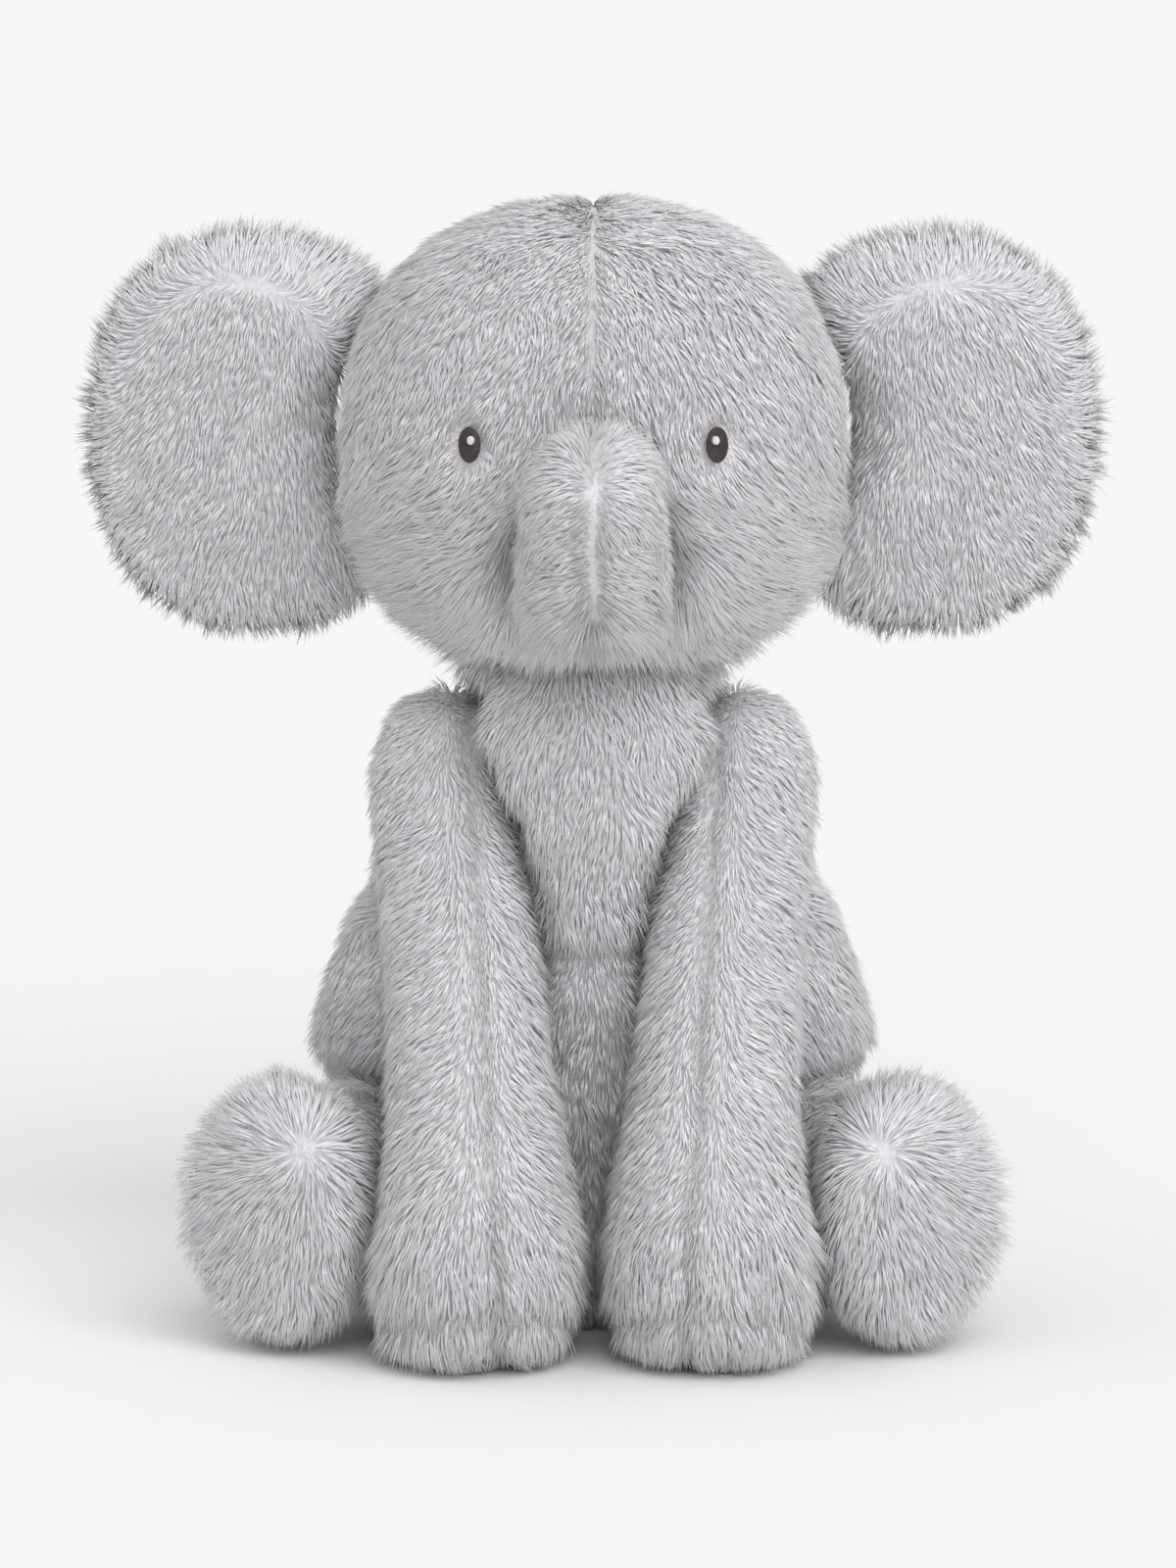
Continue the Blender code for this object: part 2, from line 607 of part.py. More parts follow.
def make_head():
    gap = seam_share(HEAD_HALF[0])
    around, along = 28, 18
    rows = stops(0.02, 0.985, along)
    for side, name in SIDES:
        edges = sorted((side * gap, side * (0.5 - gap)))
        panel(f"head_panel_{name}", "plush", head_shape, around, rows, edges)
        pupil = patch_shape(EYE_X * side, EYE_Z, EYE_HALF, EYE_THICK, LAYER_GAP)
        filling(f"eye_{name}", "dark_thread", pupil, 12, stops(0.0, 1.0, 4))
        rise = LAYER_GAP + EYE_THICK * 1.2
        place = ((EYE_X - GLINT_IN) * side, EYE_Z + GLINT_UP)
        glint = patch_shape(*place, GLINT_HALF, GLINT_THICK, rise)
        filling(f"eye_glint_{name}", "white_thread", glint, 8, stops(0.0, 1.0, 4))
    filling("head_filling", "filling", head_shape, around, stops(0.0, 1.0, along))
    loop = NECK_RADIUS + JOINT_GAP * LOOP_SHARE
    thread_loop("neck_stitching", NECK_PIVOT, (0, 0, 1), loop, math.radians(36))


def make_trunk():
    gap = seam_share(TRUNK_RADIUS)
    around, along = 14, 12
    for side, name in SIDES:
        edges = sorted((side * gap, side * (0.5 - gap)))
        panel(f"trunk_panel_{name}", "plush", trunk_shape, around, stops(0.06, 0.985, along), edges)
    filling("trunk_filling", "filling", trunk_shape, around, stops(0.0, 1.0, along))
    loop = TRUNK_RADIUS + JOINT_GAP * LOOP_SHARE
    thread_loop("trunk_stitching", TRUNK_ROOT, (0, 1, 0), loop, math.radians(28), 14)


def make_ear(side, name):
    ear = ear_shape(side)
    around, along = 26, 12
    panel(f"ear_front_{name}", "plush", ear, around, stops(0.0, 0.48, along))
    panel(f"ear_back_{name}", "plush", ear, around, stops(0.52, 1.0, along))
    filling(f"ear_wadding_{name}", "filling", ear, around, stops(0.0, 1.0, along))


def make_front_leg(side, name):
    leg = front_leg_shape(side)
    gap = seam_share(PAW_HALF_WIDTH)
    step = SEAM_GAP / SHOULDER[2]
    shoulder = LEG_FLAT + LEG_SPAN
    around, along = 16, 12

    def sole_edge(u):
        toe = (1 + np.cos(2 * math.pi * u)) / 2
        return LEG_FLAT + LEG_SPAN * (PAW_SEAM_BACK + (PAW_SEAM_FRONT - PAW_SEAM_BACK) * toe)

    def sole_rows(u):
        edge = sole_edge(u) - step
        flat = np.full_like(u, LEG_FLAT)
        return np.stack([0 * u, flat / 2, flat, (flat + edge) / 2, edge])

    def leg_rows(u):
        edge = sole_edge(u) + step
        rise = edge + (shoulder - edge) * np.linspace(0, 1, along - 3)[:, None]
        cap = [np.full_like(u, v) for v in (11 / 12, 0.985)]
        return np.vstack([rise, cap])

    seam = -LEG_SEAM_TURN * side
    outer = sorted((seam + side * gap, seam + side * (0.5 - gap)))
    inner = sorted((seam + side * (0.5 + gap), seam + side * (1 - gap)))
    panel(f"front_leg_outer_{name}", "plush", leg, around, leg_rows, outer)
    panel(f"front_leg_inner_{name}", "plush", leg, around, leg_rows, inner)
    panel(f"front_sole_{name}", "plush", leg, around, sole_rows)
    inset = FILL_INSET + LAYER_GAP
    filling(f"front_leg_filling_{name}", "filling", leg, around, stops(0.0, 1.0, along), inset)
    loop = SHOULDER_RADIUS + JOINT_GAP * LOOP_SHARE
    axis = (-0.75 * side, 0.55, 0.35)
    thread_loop(f"shoulder_stitching_{name}", sided(SHOULDER, side), axis, loop, math.radians(12), 14)


def make_hind_leg(side, name):
    leg = hind_leg_shape(side)
    step = SEAM_GAP / HIND_LENGTH
    around, along = 20, 16
    panel(f"hind_leg_cover_{name}", "plush", leg, around, stops(0.06, SOLE_SEAM - step, along))
    panel(f"hind_sole_{name}", "plush", leg, around, stops(SOLE_SEAM + step, 1.0, along))
    filling(f"hind_leg_filling_{name}", "filling", leg, around, stops(0.0, 1.0, along))
    loop = HIP_RADIUS + JOINT_GAP * LOOP_SHARE
    axis = (-0.85 * side, 0.5, 0.15)
    thread_loop(f"hip_stitching_{name}", sided(HIP, side), axis, loop, math.radians(18), 14)


def main():
    for old in list(bpy.data.objects):
        bpy.data.objects.remove(old)
    make_torso()
    make_label()
    make_head()
    make_trunk()
    for side, name in SIDES:
        make_ear(side, name)
        make_front_leg(side, name)
        make_hind_leg(side, name)
    filling("tail", "plush", tail_shape, 12, stops(0.0, 1.0, 8), 0.0)


main()
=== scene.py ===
"""The looks of the sitting plush elephant: stuffed covers, long combed pile, satin-stitch eyes,
a ribbon label and loose fibre filling.

Each cover starts as the merged CAD pieces of one limb, is drawn in a little, blown up again as
cloth under pressure, and then gets its sewn seams. The pile is grown on the covers: every hair
is a thin bent spindle, combed along a field of directions and drawn together into tufts.
"""

import json
import math

import bpy
import numpy as np
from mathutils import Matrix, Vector
from mathutils.bvhtree import BVHTree


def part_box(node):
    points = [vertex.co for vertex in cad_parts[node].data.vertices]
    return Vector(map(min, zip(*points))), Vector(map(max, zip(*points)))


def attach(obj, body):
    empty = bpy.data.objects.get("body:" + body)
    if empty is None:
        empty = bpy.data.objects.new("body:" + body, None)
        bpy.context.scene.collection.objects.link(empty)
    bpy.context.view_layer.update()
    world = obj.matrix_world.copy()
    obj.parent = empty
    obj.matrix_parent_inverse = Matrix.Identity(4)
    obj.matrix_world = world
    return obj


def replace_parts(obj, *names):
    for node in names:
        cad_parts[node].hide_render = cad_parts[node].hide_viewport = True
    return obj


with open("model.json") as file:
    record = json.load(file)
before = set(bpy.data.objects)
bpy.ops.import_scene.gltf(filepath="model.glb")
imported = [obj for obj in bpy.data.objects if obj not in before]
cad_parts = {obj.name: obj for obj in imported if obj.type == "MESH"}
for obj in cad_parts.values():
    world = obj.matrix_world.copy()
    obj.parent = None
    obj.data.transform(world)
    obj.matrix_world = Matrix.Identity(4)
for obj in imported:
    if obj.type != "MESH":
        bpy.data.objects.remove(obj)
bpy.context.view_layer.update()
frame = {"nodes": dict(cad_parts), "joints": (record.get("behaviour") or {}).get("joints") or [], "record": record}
JOINTS = {j["name"]: np.array(j["pos_m"]) for j in frame["joints"]}

# ---- sizes, in metres --------------------------------------------------------------------------
VOXEL = 0.0036  # squares of a cover before it is subdivided
DRAWN_IN = 0.0009  # a cover starts this much inside the CAD cloth
MOST_SWELL = 0.0026  # and the filling pushes it out by no more than this
SEAM_DEPTH = 0.0009
SEAM_WIDTH = 0.0022
FOLD_DEPTH = 0.0019  # the deeper seams of the chest and the front legs
HAIR_LENGTH = 0.0082
HAIR_WIDTH = 0.00048
HAIR_FLAT = 0.55  # a hair's thickness as a share of its width
TUFT = 0.0036  # size of the tufts that hairs gather in
HAIRS_PER_M2 = 1.235e6
HAIR_BEND = 0.36  # the thickest and most bent place along a hair
TUFT_PULL = 0.26  # how far a hair's tip leans to the middle of its tuft
CREASE_SHADE_REACH = (0.0115, 0.002)  # painted shade darkens the pile as another cover comes from the first to the second
SEAM_SHADE_WIDTH = 0.0021
SEAM_SHADE = {
    "torso": 0.9,
    "front_leg": 0.7,
    "trunk": 0.8,
    "head": 0.5,
    "ear": 0.0,
    "hind_leg": 0.4,
}
CHEST_TURN = 2 * math.pi * 3 / 32  # the belly and chest panels reach this far to each side
CHEST_SEAM_TURN = 0.62  # and the seam between them a little further
TORSO_RADIUS = 0.055
EAR_SQUARE = 2.3  # 2 is a plain oval, more has fuller corners
LEG_SEAM_IN = 0.006  # the front seam of a front leg lies this far towards the other leg
ANKLE_Z = 0.052
HIND_SPLAY = math.radians(31)  # from straight ahead
HIND_SOLE_SEAM = 0.0475  # along the leg from the hip
EYE_CLEAR = (0.0030, 0.0046)  # half the oval that hairs leave free for an eye
EYE_RIDGES = 20  # satin stitches side by side over an eye
GLINT_RIDGES = 5
STITCH_DOME = 0.0006  # how high the middle of a stitched oval stands
STITCH_BACK = 0.0008
EYE_RAISED = 0.0009
GLINT_RAISED = 0.0013
STUFFING_IN = 0.0011  # the filling starts this much inside its CAD solid
STUFFING_LEAST = 0.0006
COVER_ABOVE_FLOOR = 0.0007
HAIR_ABOVE_FLOOR = 0.0002
ROOT_IN = 0.0004  # a hair starts this far under the cloth
CROWDED = (0.0022, 0.006)  # hairs stand thinner as another cover comes this near
STANDS_UP = (0.009, 0.003)  # and they stand up in the gap to it
LEAST_ROOM = 0.0012  # closer to another cover than this no hair grows
LABEL_CURL = 0.0007
LABEL_TWIST = 0.0003
LABEL_WALL = 0.00035
CLOTH_STEPS = 20
CLOTH_PRESSURE = 4
SIDES = ("left", "right")


# ---- small mathematics -------------------------------------------------------------------------
def unit(rows):
    """Every row at length one."""
    return rows / np.maximum(np.linalg.norm(rows, axis=-1, keepdims=True), 1e-12)


def ease(low, high, value):
    """0 below low, 1 above high, and 3t^2 - 2t^3 between them."""
    t = np.clip((value - low) / (high - low), 0, 1)
    return t * t * (3 - 2 * t)


def waves(points, wavelength, seed, count=7):
    """Mean of plane waves in fixed random directions, mostly between -1 and 1."""
    rng = np.random.default_rng(seed)
    ways = unit(rng.normal(size=(count, 3)))
    rate = 2 * math.pi / wavelength * rng.uniform(0.7, 1.4, count)
    start = rng.uniform(0, 2 * math.pi, count)
    return np.sin(points @ (ways * rate[:, None]).T + start).mean(1) * 2.0


def cell_numbers(cell, seed):
    """Four even random numbers for each whole-number cell, from mixed products of its place."""
    mixed = (
        cell[:, 0].astype(np.uint64) * np.uint64(0x9E3779B97F4A7C15)
        ^ cell[:, 1].astype(np.uint64) * np.uint64(0xC2B2AE3D27D4EB4F)
        ^ cell[:, 2].astype(np.uint64) * np.uint64(0x165667B19E3779F9)
        ^ np.uint64(seed * 7919 + 17)
    )
    numbers = []
    for turn in range(4):
        mixed = (mixed ^ (mixed >> np.uint64(31))) * np.uint64(0xBF58476D1CE4E5B9 + 2 * turn)
        mixed = mixed ^ (mixed >> np.uint64(29))
        numbers.append((mixed >> np.uint64(40)).astype(float) / 2**24)
    return np.stack(numbers, 1)


def tufts(points, size, seed):
    """The nearest point of a jittered cubic lattice to each place, and its own random number."""
    home = np.floor(points / size).astype(np.int64)
    best = np.full(len(points), np.inf)
    centre = np.zeros_like(points)
    mark = np.zeros(len(points))
    for step in np.ndindex(3, 3, 3):
        cell = home + np.array(step) - 1
        numbers = cell_numbers(cell + 4096, seed)
        place = (cell + numbers[:, :3]) * size
        gap = ((points - place) ** 2).sum(1)
        nearer = gap < best
        best[nearer] = gap[nearer]
        centre[nearer] = place[nearer]
        mark[nearer] = numbers[nearer, 3]
    return centre, mark


# ---- meshes ------------------------------------------------------------------------------------
def make_piece(name, points, faces, material, body):
    """A smooth mesh object from arrays, riding on its body. faces is one array of rows."""
    mesh = bpy.data.meshes.new(name)
    faces = np.asarray(faces, np.int32)
    wide = faces.shape[1]
    mesh.vertices.add(len(points))
    mesh.vertices.foreach_set("co", np.asarray(points, np.float32).ravel())
    mesh.loops.add(faces.size)
    mesh.loops.foreach_set("vertex_index", faces.ravel())
    mesh.polygons.add(len(faces))
    mesh.polygons.foreach_set("loop_start", np.arange(len(faces), dtype=np.int32) * wide)
    mesh.polygons.foreach_set("loop_total", np.full(len(faces), wide, np.int32))
    mesh.update(calc_edges=True)
    mesh.shade_smooth()
    mesh.materials.append(material)
    made = bpy.data.objects.new(name, mesh)
    bpy.context.scene.collection.objects.link(made)
    if body is not None:
        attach(made, body)
    return made


def points_of(mesh):
    found = np.empty(len(mesh.vertices) * 3, np.float32)
    mesh.vertices.foreach_get("co", found)
    return found.reshape(-1, 3).astype(float)


def put_points(mesh, points):
    mesh.vertices.foreach_set("co", points.astype(np.float32).ravel())
    mesh.update()


def normals_of(mesh):
    found = np.empty(len(mesh.vertices) * 3, np.float32)
    mesh.vertices.foreach_get("normal", found)
    return found.reshape(-1, 3).astype(float)


def triangles_of(mesh):
    mesh.calc_loop_triangles()
    found = np.empty(len(mesh.loop_triangles) * 3, np.int32)
    mesh.loop_triangles.foreach_get("vertices", found)
    return found.reshape(-1, 3)


def merged(names):
    """Points and triangles of CAD nodes, with equal points made one."""
    points, faces, first = [], [], 0
    for name in names:
        mesh = frame["nodes"][name].data
        points.append(points_of(mesh))
        faces.append(triangles_of(mesh) + first)
        first += len(mesh.vertices)
    points, faces = np.concatenate(points), np.concatenate(faces)
    _, kept, number = np.unique(
        np.round(points, 7), axis=0, return_index=True, return_inverse=True
    )
    faces = number.reshape(-1)[faces]
    whole = (faces != np.roll(faces, 1, axis=1)).all(1)
    return points[kept], faces[whole]


def evaluated(made):
    """The object's mesh with its modifiers worked out, in place of the old one."""
    view = bpy.context.evaluated_depsgraph_get()
    mesh = bpy.data.meshes.new_from_object(made.evaluated_get(view), depsgraph=view)
    made.modifiers.clear()
    old = made.data
    made.data = mesh
    bpy.data.meshes.remove(old)


def subdivided(made):
    """One level of subdivision, applied."""
    finer = made.modifiers.new("finer", "SUBSURF")
    finer.levels = finer.render_levels = 1
    evaluated(made)


def quads_of(mesh):
    found = np.empty(len(mesh.polygons) * 4, np.int32)
    mesh.polygons.foreach_get("vertices", found)
    return found.reshape(-1, 4)


def outermost(points, faces):
    """Keeps the largest connected shell: each point takes the lowest number among its
    neighbours until nothing changes."""
    label = np.arange(len(points))
    while True:
        low = label[faces].min(1)
        new = label.copy()
        np.minimum.at(new, faces.ravel(), np.repeat(low, faces.shape[1]))
        new = new[new]
        if (new == label).all():
            break
        label = new
    names, counts = np.unique(label, return_counts=True)
    kept = label == names[counts.argmax()]
    number = np.cumsum(kept) - 1
    return points[kept], number[faces[kept[faces].all(1)]]


def smoothed(made, rounds):
    """Every point moves half way to the mean of its neighbours, and back out by as much as the
    whole form shrank."""
    mesh = made.data
    edges = np.empty(len(mesh.edges) * 2, np.int32)
    mesh.edges.foreach_get("vertices", edges)
    edges = edges.reshape(-1, 2)
    points = points_of(mesh)
    count = np.bincount(edges.ravel(), minlength=len(points))[:, None]
    for strength in (0.5, -0.52) * rounds:
        total = np.zeros_like(points)
        np.add.at(total, edges[:, 0], points[edges[:, 1]])
        np.add.at(total, edges[:, 1], points[edges[:, 0]])
        points = points + strength * (total / np.maximum(count, 1) - points)
    put_points(mesh, points)


def cover_start(name, nodes):
    """The merged CAD cloth and filling of a limb as one closed skin of even small squares,
    drawn in along its normals."""
    points, faces = merged(nodes)
    made = make_piece(name, points, faces, PLUSH_CLOTH, None)
    remesh = made.modifiers.new("squares", "REMESH")
    remesh.mode = "VOXEL"
    remesh.voxel_size = VOXEL
    evaluated(made)
    points, faces = outermost(points_of(made.data), quads_of(made.data))
    bpy.data.objects.remove(made)
    made = make_piece(name, points, faces, PLUSH_CLOTH, None)
    smoothed(made, 3)
    put_points(made.data, points_of(made.data) - normals_of(made.data) * DRAWN_IN)
    return made


def blow_up(covers):
    """Cloth under pressure from the filling, without weight. Every point moves out, by 0.6 of
    DRAWN_IN or more, slides along the cloth by 0.4 of what it did in the simulation, and goes no
    further than MOST_SWELL in all."""
    scene = bpy.context.scene
    for made in covers:
        cloth = made.modifiers.new("filled", "CLOTH")
        cloth.settings.use_pressure = True
        cloth.settings.uniform_pressure_force = CLOTH_PRESSURE
        cloth.settings.effector_weights.gravity = 0
        cloth.point_cache.frame_start = 1
        cloth.point_cache.frame_end = CLOTH_STEPS
    for step in range(1, CLOTH_STEPS + 1):
        scene.frame_set(step)
    view = bpy.context.evaluated_depsgraph_get()
    for made in covers:
        rest = points_of(made.data)
        moved = points_of(made.evaluated_get(view).data) - rest
        out = normals_of(made.data)
        swell = (moved * out).sum(1, keepdims=True)
        slid = (moved - swell * out) * 0.4
        moved = slid + out * np.clip(swell, DRAWN_IN * 0.6, MOST_SWELL)
        far = np.linalg.norm(moved, axis=1, keepdims=True)
        moved *= np.minimum(1, MOST_SWELL / np.maximum(far, 1e-9))
        made.modifiers.clear()
        put_points(made.data, rest + moved)
        smoothed(made, 2)
    scene.frame_set(1)


def mirrored(made, name):
    """The same cover for the other side: x changes sign and the faces turn round."""
    points = points_of(made.data) * (-1, 1, 1)
    return make_piece(name, points, quads_of(made.data)[:, ::-1], PLUSH_CLOTH, None)


# ---- finishes ----------------------------------------------------------------------------------
def add(tree, kind, **settings):
    node = tree.nodes.new(kind)
    for key, value in settings.items():
        setattr(node, key, value)
    return node


def put(node, **values):
    """Constants for a node's inputs. An underscore in a name stands for a space."""
    for name, value in values.items():
        node.inputs[name.replace("_", " ")].default_value = value


def material(name, roughness, sheen=0.0, sheen_roughness=0.5, specular=0.3):
    """A material with its Principled shader, ready for its patterns."""
    made = bpy.data.materials.new(name)
    made.use_nodes = True
    shader = made.node_tree.nodes["Principled BSDF"]
    put(
        shader,
        Roughness=roughness,
        Sheen_Weight=sheen,
        Sheen_Roughness=sheen_roughness,
        Specular_IOR_Level=specular,
    )
    return made, made.node_tree, shader


def mottle_group():
    """Two colours mixed by cloudy noise over the object, for cloth and pile alike. Scale and
    share are its own inputs."""
    group = bpy.data.node_groups.new("mottle", "ShaderNodeTree")
    for name, kind in (
        ("Light", "NodeSocketColor"),
        ("Dark", "NodeSocketColor"),
        ("Scale", "NodeSocketFloat"),
        ("Shift", "NodeSocketFloat"),
    ):
        group.interface.new_socket(name=name, in_out="INPUT", socket_type=kind)
    group.interface.new_socket(name="Colour", in_out="OUTPUT", socket_type="NodeSocketColor")
    start, end = add(group, "NodeGroupInput"), add(group, "NodeGroupOutput")
    place = add(group, "ShaderNodeTexCoord")
    noise = add(group, "ShaderNodeTexNoise")
    put(noise, Detail=4, Roughness=0.62)
    moved = add(group, "ShaderNodeMath", operation="ADD", use_clamp=True)
    blend = add(group, "ShaderNodeMix", data_type="RGBA")
    spread = add(group, "ShaderNodeMapRange")
    put(spread, From_Min=0.32, From_Max=0.68)
    link = group.links.new
    link(place.outputs["Object"], noise.inputs["Vector"])
    link(start.outputs["Scale"], noise.inputs["Scale"])
    link(noise.outputs["Fac"], spread.inputs["Value"])
    link(spread.outputs["Result"], moved.inputs[0])
    link(start.outputs["Shift"], moved.inputs[1])
    link(moved.outputs[0], blend.inputs["Factor"])
    link(start.outputs["Dark"], blend.inputs["A"])
    link(start.outputs["Light"], blend.inputs["B"])
    link(blend.outputs["Result"], end.inputs["Colour"])
    return group


def mottled(tree, light, dark, scale, shift=0.0):
    """The mottle group placed in a material."""
    made = add(tree, "ShaderNodeGroup", node_tree=MOTTLE)
    put(made, Light=(*light, 1), Dark=(*dark, 1), Scale=scale, Shift=shift)
    return made.outputs["Colour"]


def plush_pile():
    """Pile: darkened towards the root as painted shade, pale at the tip, each hair and tuft a little different."""
    made, tree, shader = material(
        "plush_pile", 0.85, sheen=0.55, sheen_roughness=0.45, specular=0.10
    )
    hair = add(tree, "ShaderNodeAttribute", attribute_name="hair")
    part = add(tree, "ShaderNodeSeparateColor")
    ramp = add(tree, "ShaderNodeValToRGB")
    # painted shade: each hair runs from a darker root colour out to its tip colour
    ramp.color_ramp.elements[0].position = 0.0
    ramp.color_ramp.elements[0].color = (*SHADED_PILE_ROOT, 1)
    ramp.color_ramp.elements[1].position = 0.42
    ramp.color_ramp.elements[1].color = (*PILE_TIP, 1)
    vary = add(tree, "ShaderNodeMapRange")
    put(vary, To_Min=0.955, To_Max=1.03)
    gather = add(tree, "ShaderNodeMapRange")
    put(gather, To_Min=0.975, To_Max=1.02)
    # painted shade: hairs in a crease or along a seam are darkened, down to 0.60
    crease_shade = add(tree, "ShaderNodeMapRange")
    put(crease_shade, To_Min=1.0, To_Max=0.60)
    both = add(tree, "ShaderNodeMath", operation="MULTIPLY")
    darker = add(tree, "ShaderNodeMath", operation="MULTIPLY")
    tone = add(tree, "ShaderNodeMix", data_type="RGBA", blend_type="MULTIPLY")
    cloud = add(tree, "ShaderNodeMix", data_type="RGBA", blend_type="MULTIPLY")
    tone.inputs["Factor"].default_value = 1
    cloud.inputs["Factor"].default_value = 1
    link = tree.links.new
    link(hair.outputs["Color"], part.inputs["Color"])
    link(part.outputs["Red"], ramp.inputs["Fac"])
    link(part.outputs["Green"], vary.inputs["Value"])
    link(part.outputs["Blue"], gather.inputs["Value"])
    link(vary.outputs["Result"], both.inputs[0])
    link(gather.outputs["Result"], both.inputs[1])
    link(ramp.outputs["Color"], tone.inputs["A"])
    link(hair.outputs["Alpha"], crease_shade.inputs["Value"])
    link(both.outputs[0], darker.inputs[0])
    link(crease_shade.outputs["Result"], darker.inputs[1])
    link(darker.outputs[0], tone.inputs["B"])
    link(tone.outputs["Result"], cloud.inputs["A"])
    link(mottled(tree, (1, 1, 1), (0.93, 0.93, 0.935), 55), cloud.inputs["B"])
    link(cloud.outputs["Result"], shader.inputs["Base Color"])
    return made


def plush_cloth():
    """The ground the pile stands on: felted, coloured darker than the pile as painted shade under it, with the
    short under-hairs as fine relief.
    """
    made, tree, shader = material("plush_cloth", 0.9, sheen=0.3, specular=0.15)
    link = tree.links.new
    link(mottled(tree, SHADED_PILE_GROUND, SHADED_PILE_ROOT, 900), shader.inputs["Base Color"])
    place = add(tree, "ShaderNodeTexCoord")
    stretch = add(tree, "ShaderNodeMapping")
    stretch.inputs["Scale"].default_value = (1600, 1600, 420)
    fibre = add(tree, "ShaderNodeTexNoise")
    put(fibre, Scale=1, Detail=3)
    bump = add(tree, "ShaderNodeBump")
    put(bump, Strength=0.7, Distance=0.0006)
    link(place.outputs["Object"], stretch.inputs["Vector"])
    link(stretch.outputs["Vector"], fibre.inputs["Vector"])
    link(fibre.outputs["Fac"], bump.inputs["Height"])
    link(bump.outputs["Normal"], shader.inputs["Normal"])
    return made


def thread(name, light, dark, roughness, fine):
    """Twisted thread: two tones by noise that is stretched along z, and a fine twist relief."""
    made, tree, shader = material(name, roughness, sheen=0.1, specular=0.5)
    link = tree.links.new
    link(mottled(tree, light, dark, fine), shader.inputs["Base Color"])
    place = add(tree, "ShaderNodeTexCoord")
    twist = add(tree, "ShaderNodeTexWave", wave_type="BANDS", bands_direction="DIAGONAL")
    put(twist, Scale=fine, Distortion=1.5)
    bump = add(tree, "ShaderNodeBump")
    put(bump, Strength=0.5, Distance=0.0001)
    link(place.outputs["Object"], twist.inputs["Vector"])
    link(twist.outputs["Fac"], bump.inputs["Height"])
    link(bump.outputs["Normal"], shader.inputs["Normal"])
    return made


def woven(name, light, dark, pitch, relief):
    """Plain weave: warp and weft waves crossed, seen in the tone and in the relief."""
    made, tree, shader = material(name, 0.7, sheen=0.2, specular=0.35)
    link = tree.links.new
    place = add(tree, "ShaderNodeTexCoord")
    warp = add(tree, "ShaderNodeTexWave", wave_type="BANDS", bands_direction="Z")
    weft = add(tree, "ShaderNodeTexWave", wave_type="BANDS", bands_direction="Y")
    for yarn in (warp, weft):
        put(yarn, Scale=pitch, Distortion=0.4)
        link(place.outputs["Object"], yarn.inputs["Vector"])
    cross = add(tree, "ShaderNodeMath", operation="MULTIPLY")
    tone = add(tree, "ShaderNodeMix", data_type="RGBA", blend_type="MULTIPLY")
    tone.inputs["Factor"].default_value = 0.35
    bump = add(tree, "ShaderNodeBump")
    put(bump, Strength=relief, Distance=0.0002)
    link(warp.outputs["Fac"], cross.inputs[0])
    link(weft.outputs["Fac"], cross.inputs[1])
    link(mottled(tree, light, dark, 300), tone.inputs["A"])
    link(cross.outputs[0], tone.inputs["B"])
    link(tone.outputs["Result"], shader.inputs["Base Color"])
    link(cross.outputs[0], bump.inputs["Height"])
    link(bump.outputs["Normal"], shader.inputs["Normal"])
    return made


def loose_fibre():
    """Hollow polyester fibre: soft white cloud with tangled strands as relief."""
    made, tree, shader = material("loose_fibre", 0.85, sheen=0.4, specular=0.2)
    link = tree.links.new
    link(mottled(tree, (0.86, 0.86, 0.85), (0.66, 0.66, 0.66), 220), shader.inputs["Base Color"])
    place = add(tree, "ShaderNodeTexCoord")
    tangle = add(tree, "ShaderNodeTexNoise")
    put(tangle, Scale=700, Detail=5, Distortion=2.5)
    bump = add(tree, "ShaderNodeBump")
    put(bump, Strength=0.8, Distance=0.0008)
    link(place.outputs["Object"], tangle.inputs["Vector"])
    link(tangle.outputs["Fac"], bump.inputs["Height"])
    link(bump.outputs["Normal"], shader.inputs["Normal"])
    return made


# The root and the cloth under the pile are darker than the tip as painted shade deep in the pile.
PILE_TIP = (0.845, 0.827, 0.853)
SHADED_PILE_ROOT = (0.755, 0.738, 0.763)
SHADED_PILE_GROUND = (0.590, 0.574, 0.597)
MOTTLE = mottle_group()
PLUSH_PILE = plush_pile()
PLUSH_CLOTH = plush_cloth()
FIBRE = loose_fibre()
BAG_WEAVE = woven("pellet_bag_weave", (0.72, 0.70, 0.64), (0.58, 0.56, 0.51), 420, 0.8)
LABEL_SATIN = woven("label_satin", (0.84, 0.84, 0.83), (0.76, 0.76, 0.76), 760, 0.35)
EYE_SILK = thread("eye_silk", (0.050, 0.030, 0.028), (0.016, 0.010, 0.010), 0.34, 1400)
GLINT_SILK = thread("glint_silk", (0.86, 0.86, 0.86), (0.62, 0.62, 0.64), 0.4, 1400)
JOINT_THREAD = thread("joint_thread", (0.42, 0.42, 0.44), (0.24, 0.24, 0.26), 0.6, 900)

# ---- covers ------------------------------------------------------------------------------------
PANELS = {
    "torso": ("belly_panel", "chest_panel", "back_panel_left", "back_panel_right", "seat_panel"),
    "head": ("head_panel_left", "head_panel_right"),
    "trunk": ("trunk_panel_left", "trunk_panel_right"),
    "ear_left": ("ear_front_left", "ear_back_left"),
    "front_leg_left": ("front_leg_outer_left", "front_leg_inner_left", "front_sole_left"),
    "hind_leg_left": ("hind_leg_cover_left", "hind_sole_left"),
}
STUFFING = {
    "torso": ("torso_filling", "pellet_bag"),
    "head": ("head_filling",),
    "trunk": ("trunk_filling",),
    "ear_left": ("ear_wadding_left",),
    "front_leg_left": ("front_leg_filling_left",),
    "hind_leg_left": ("hind_leg_filling_left",),
}


def other_side(name):
    return name.replace("_left", "_right")


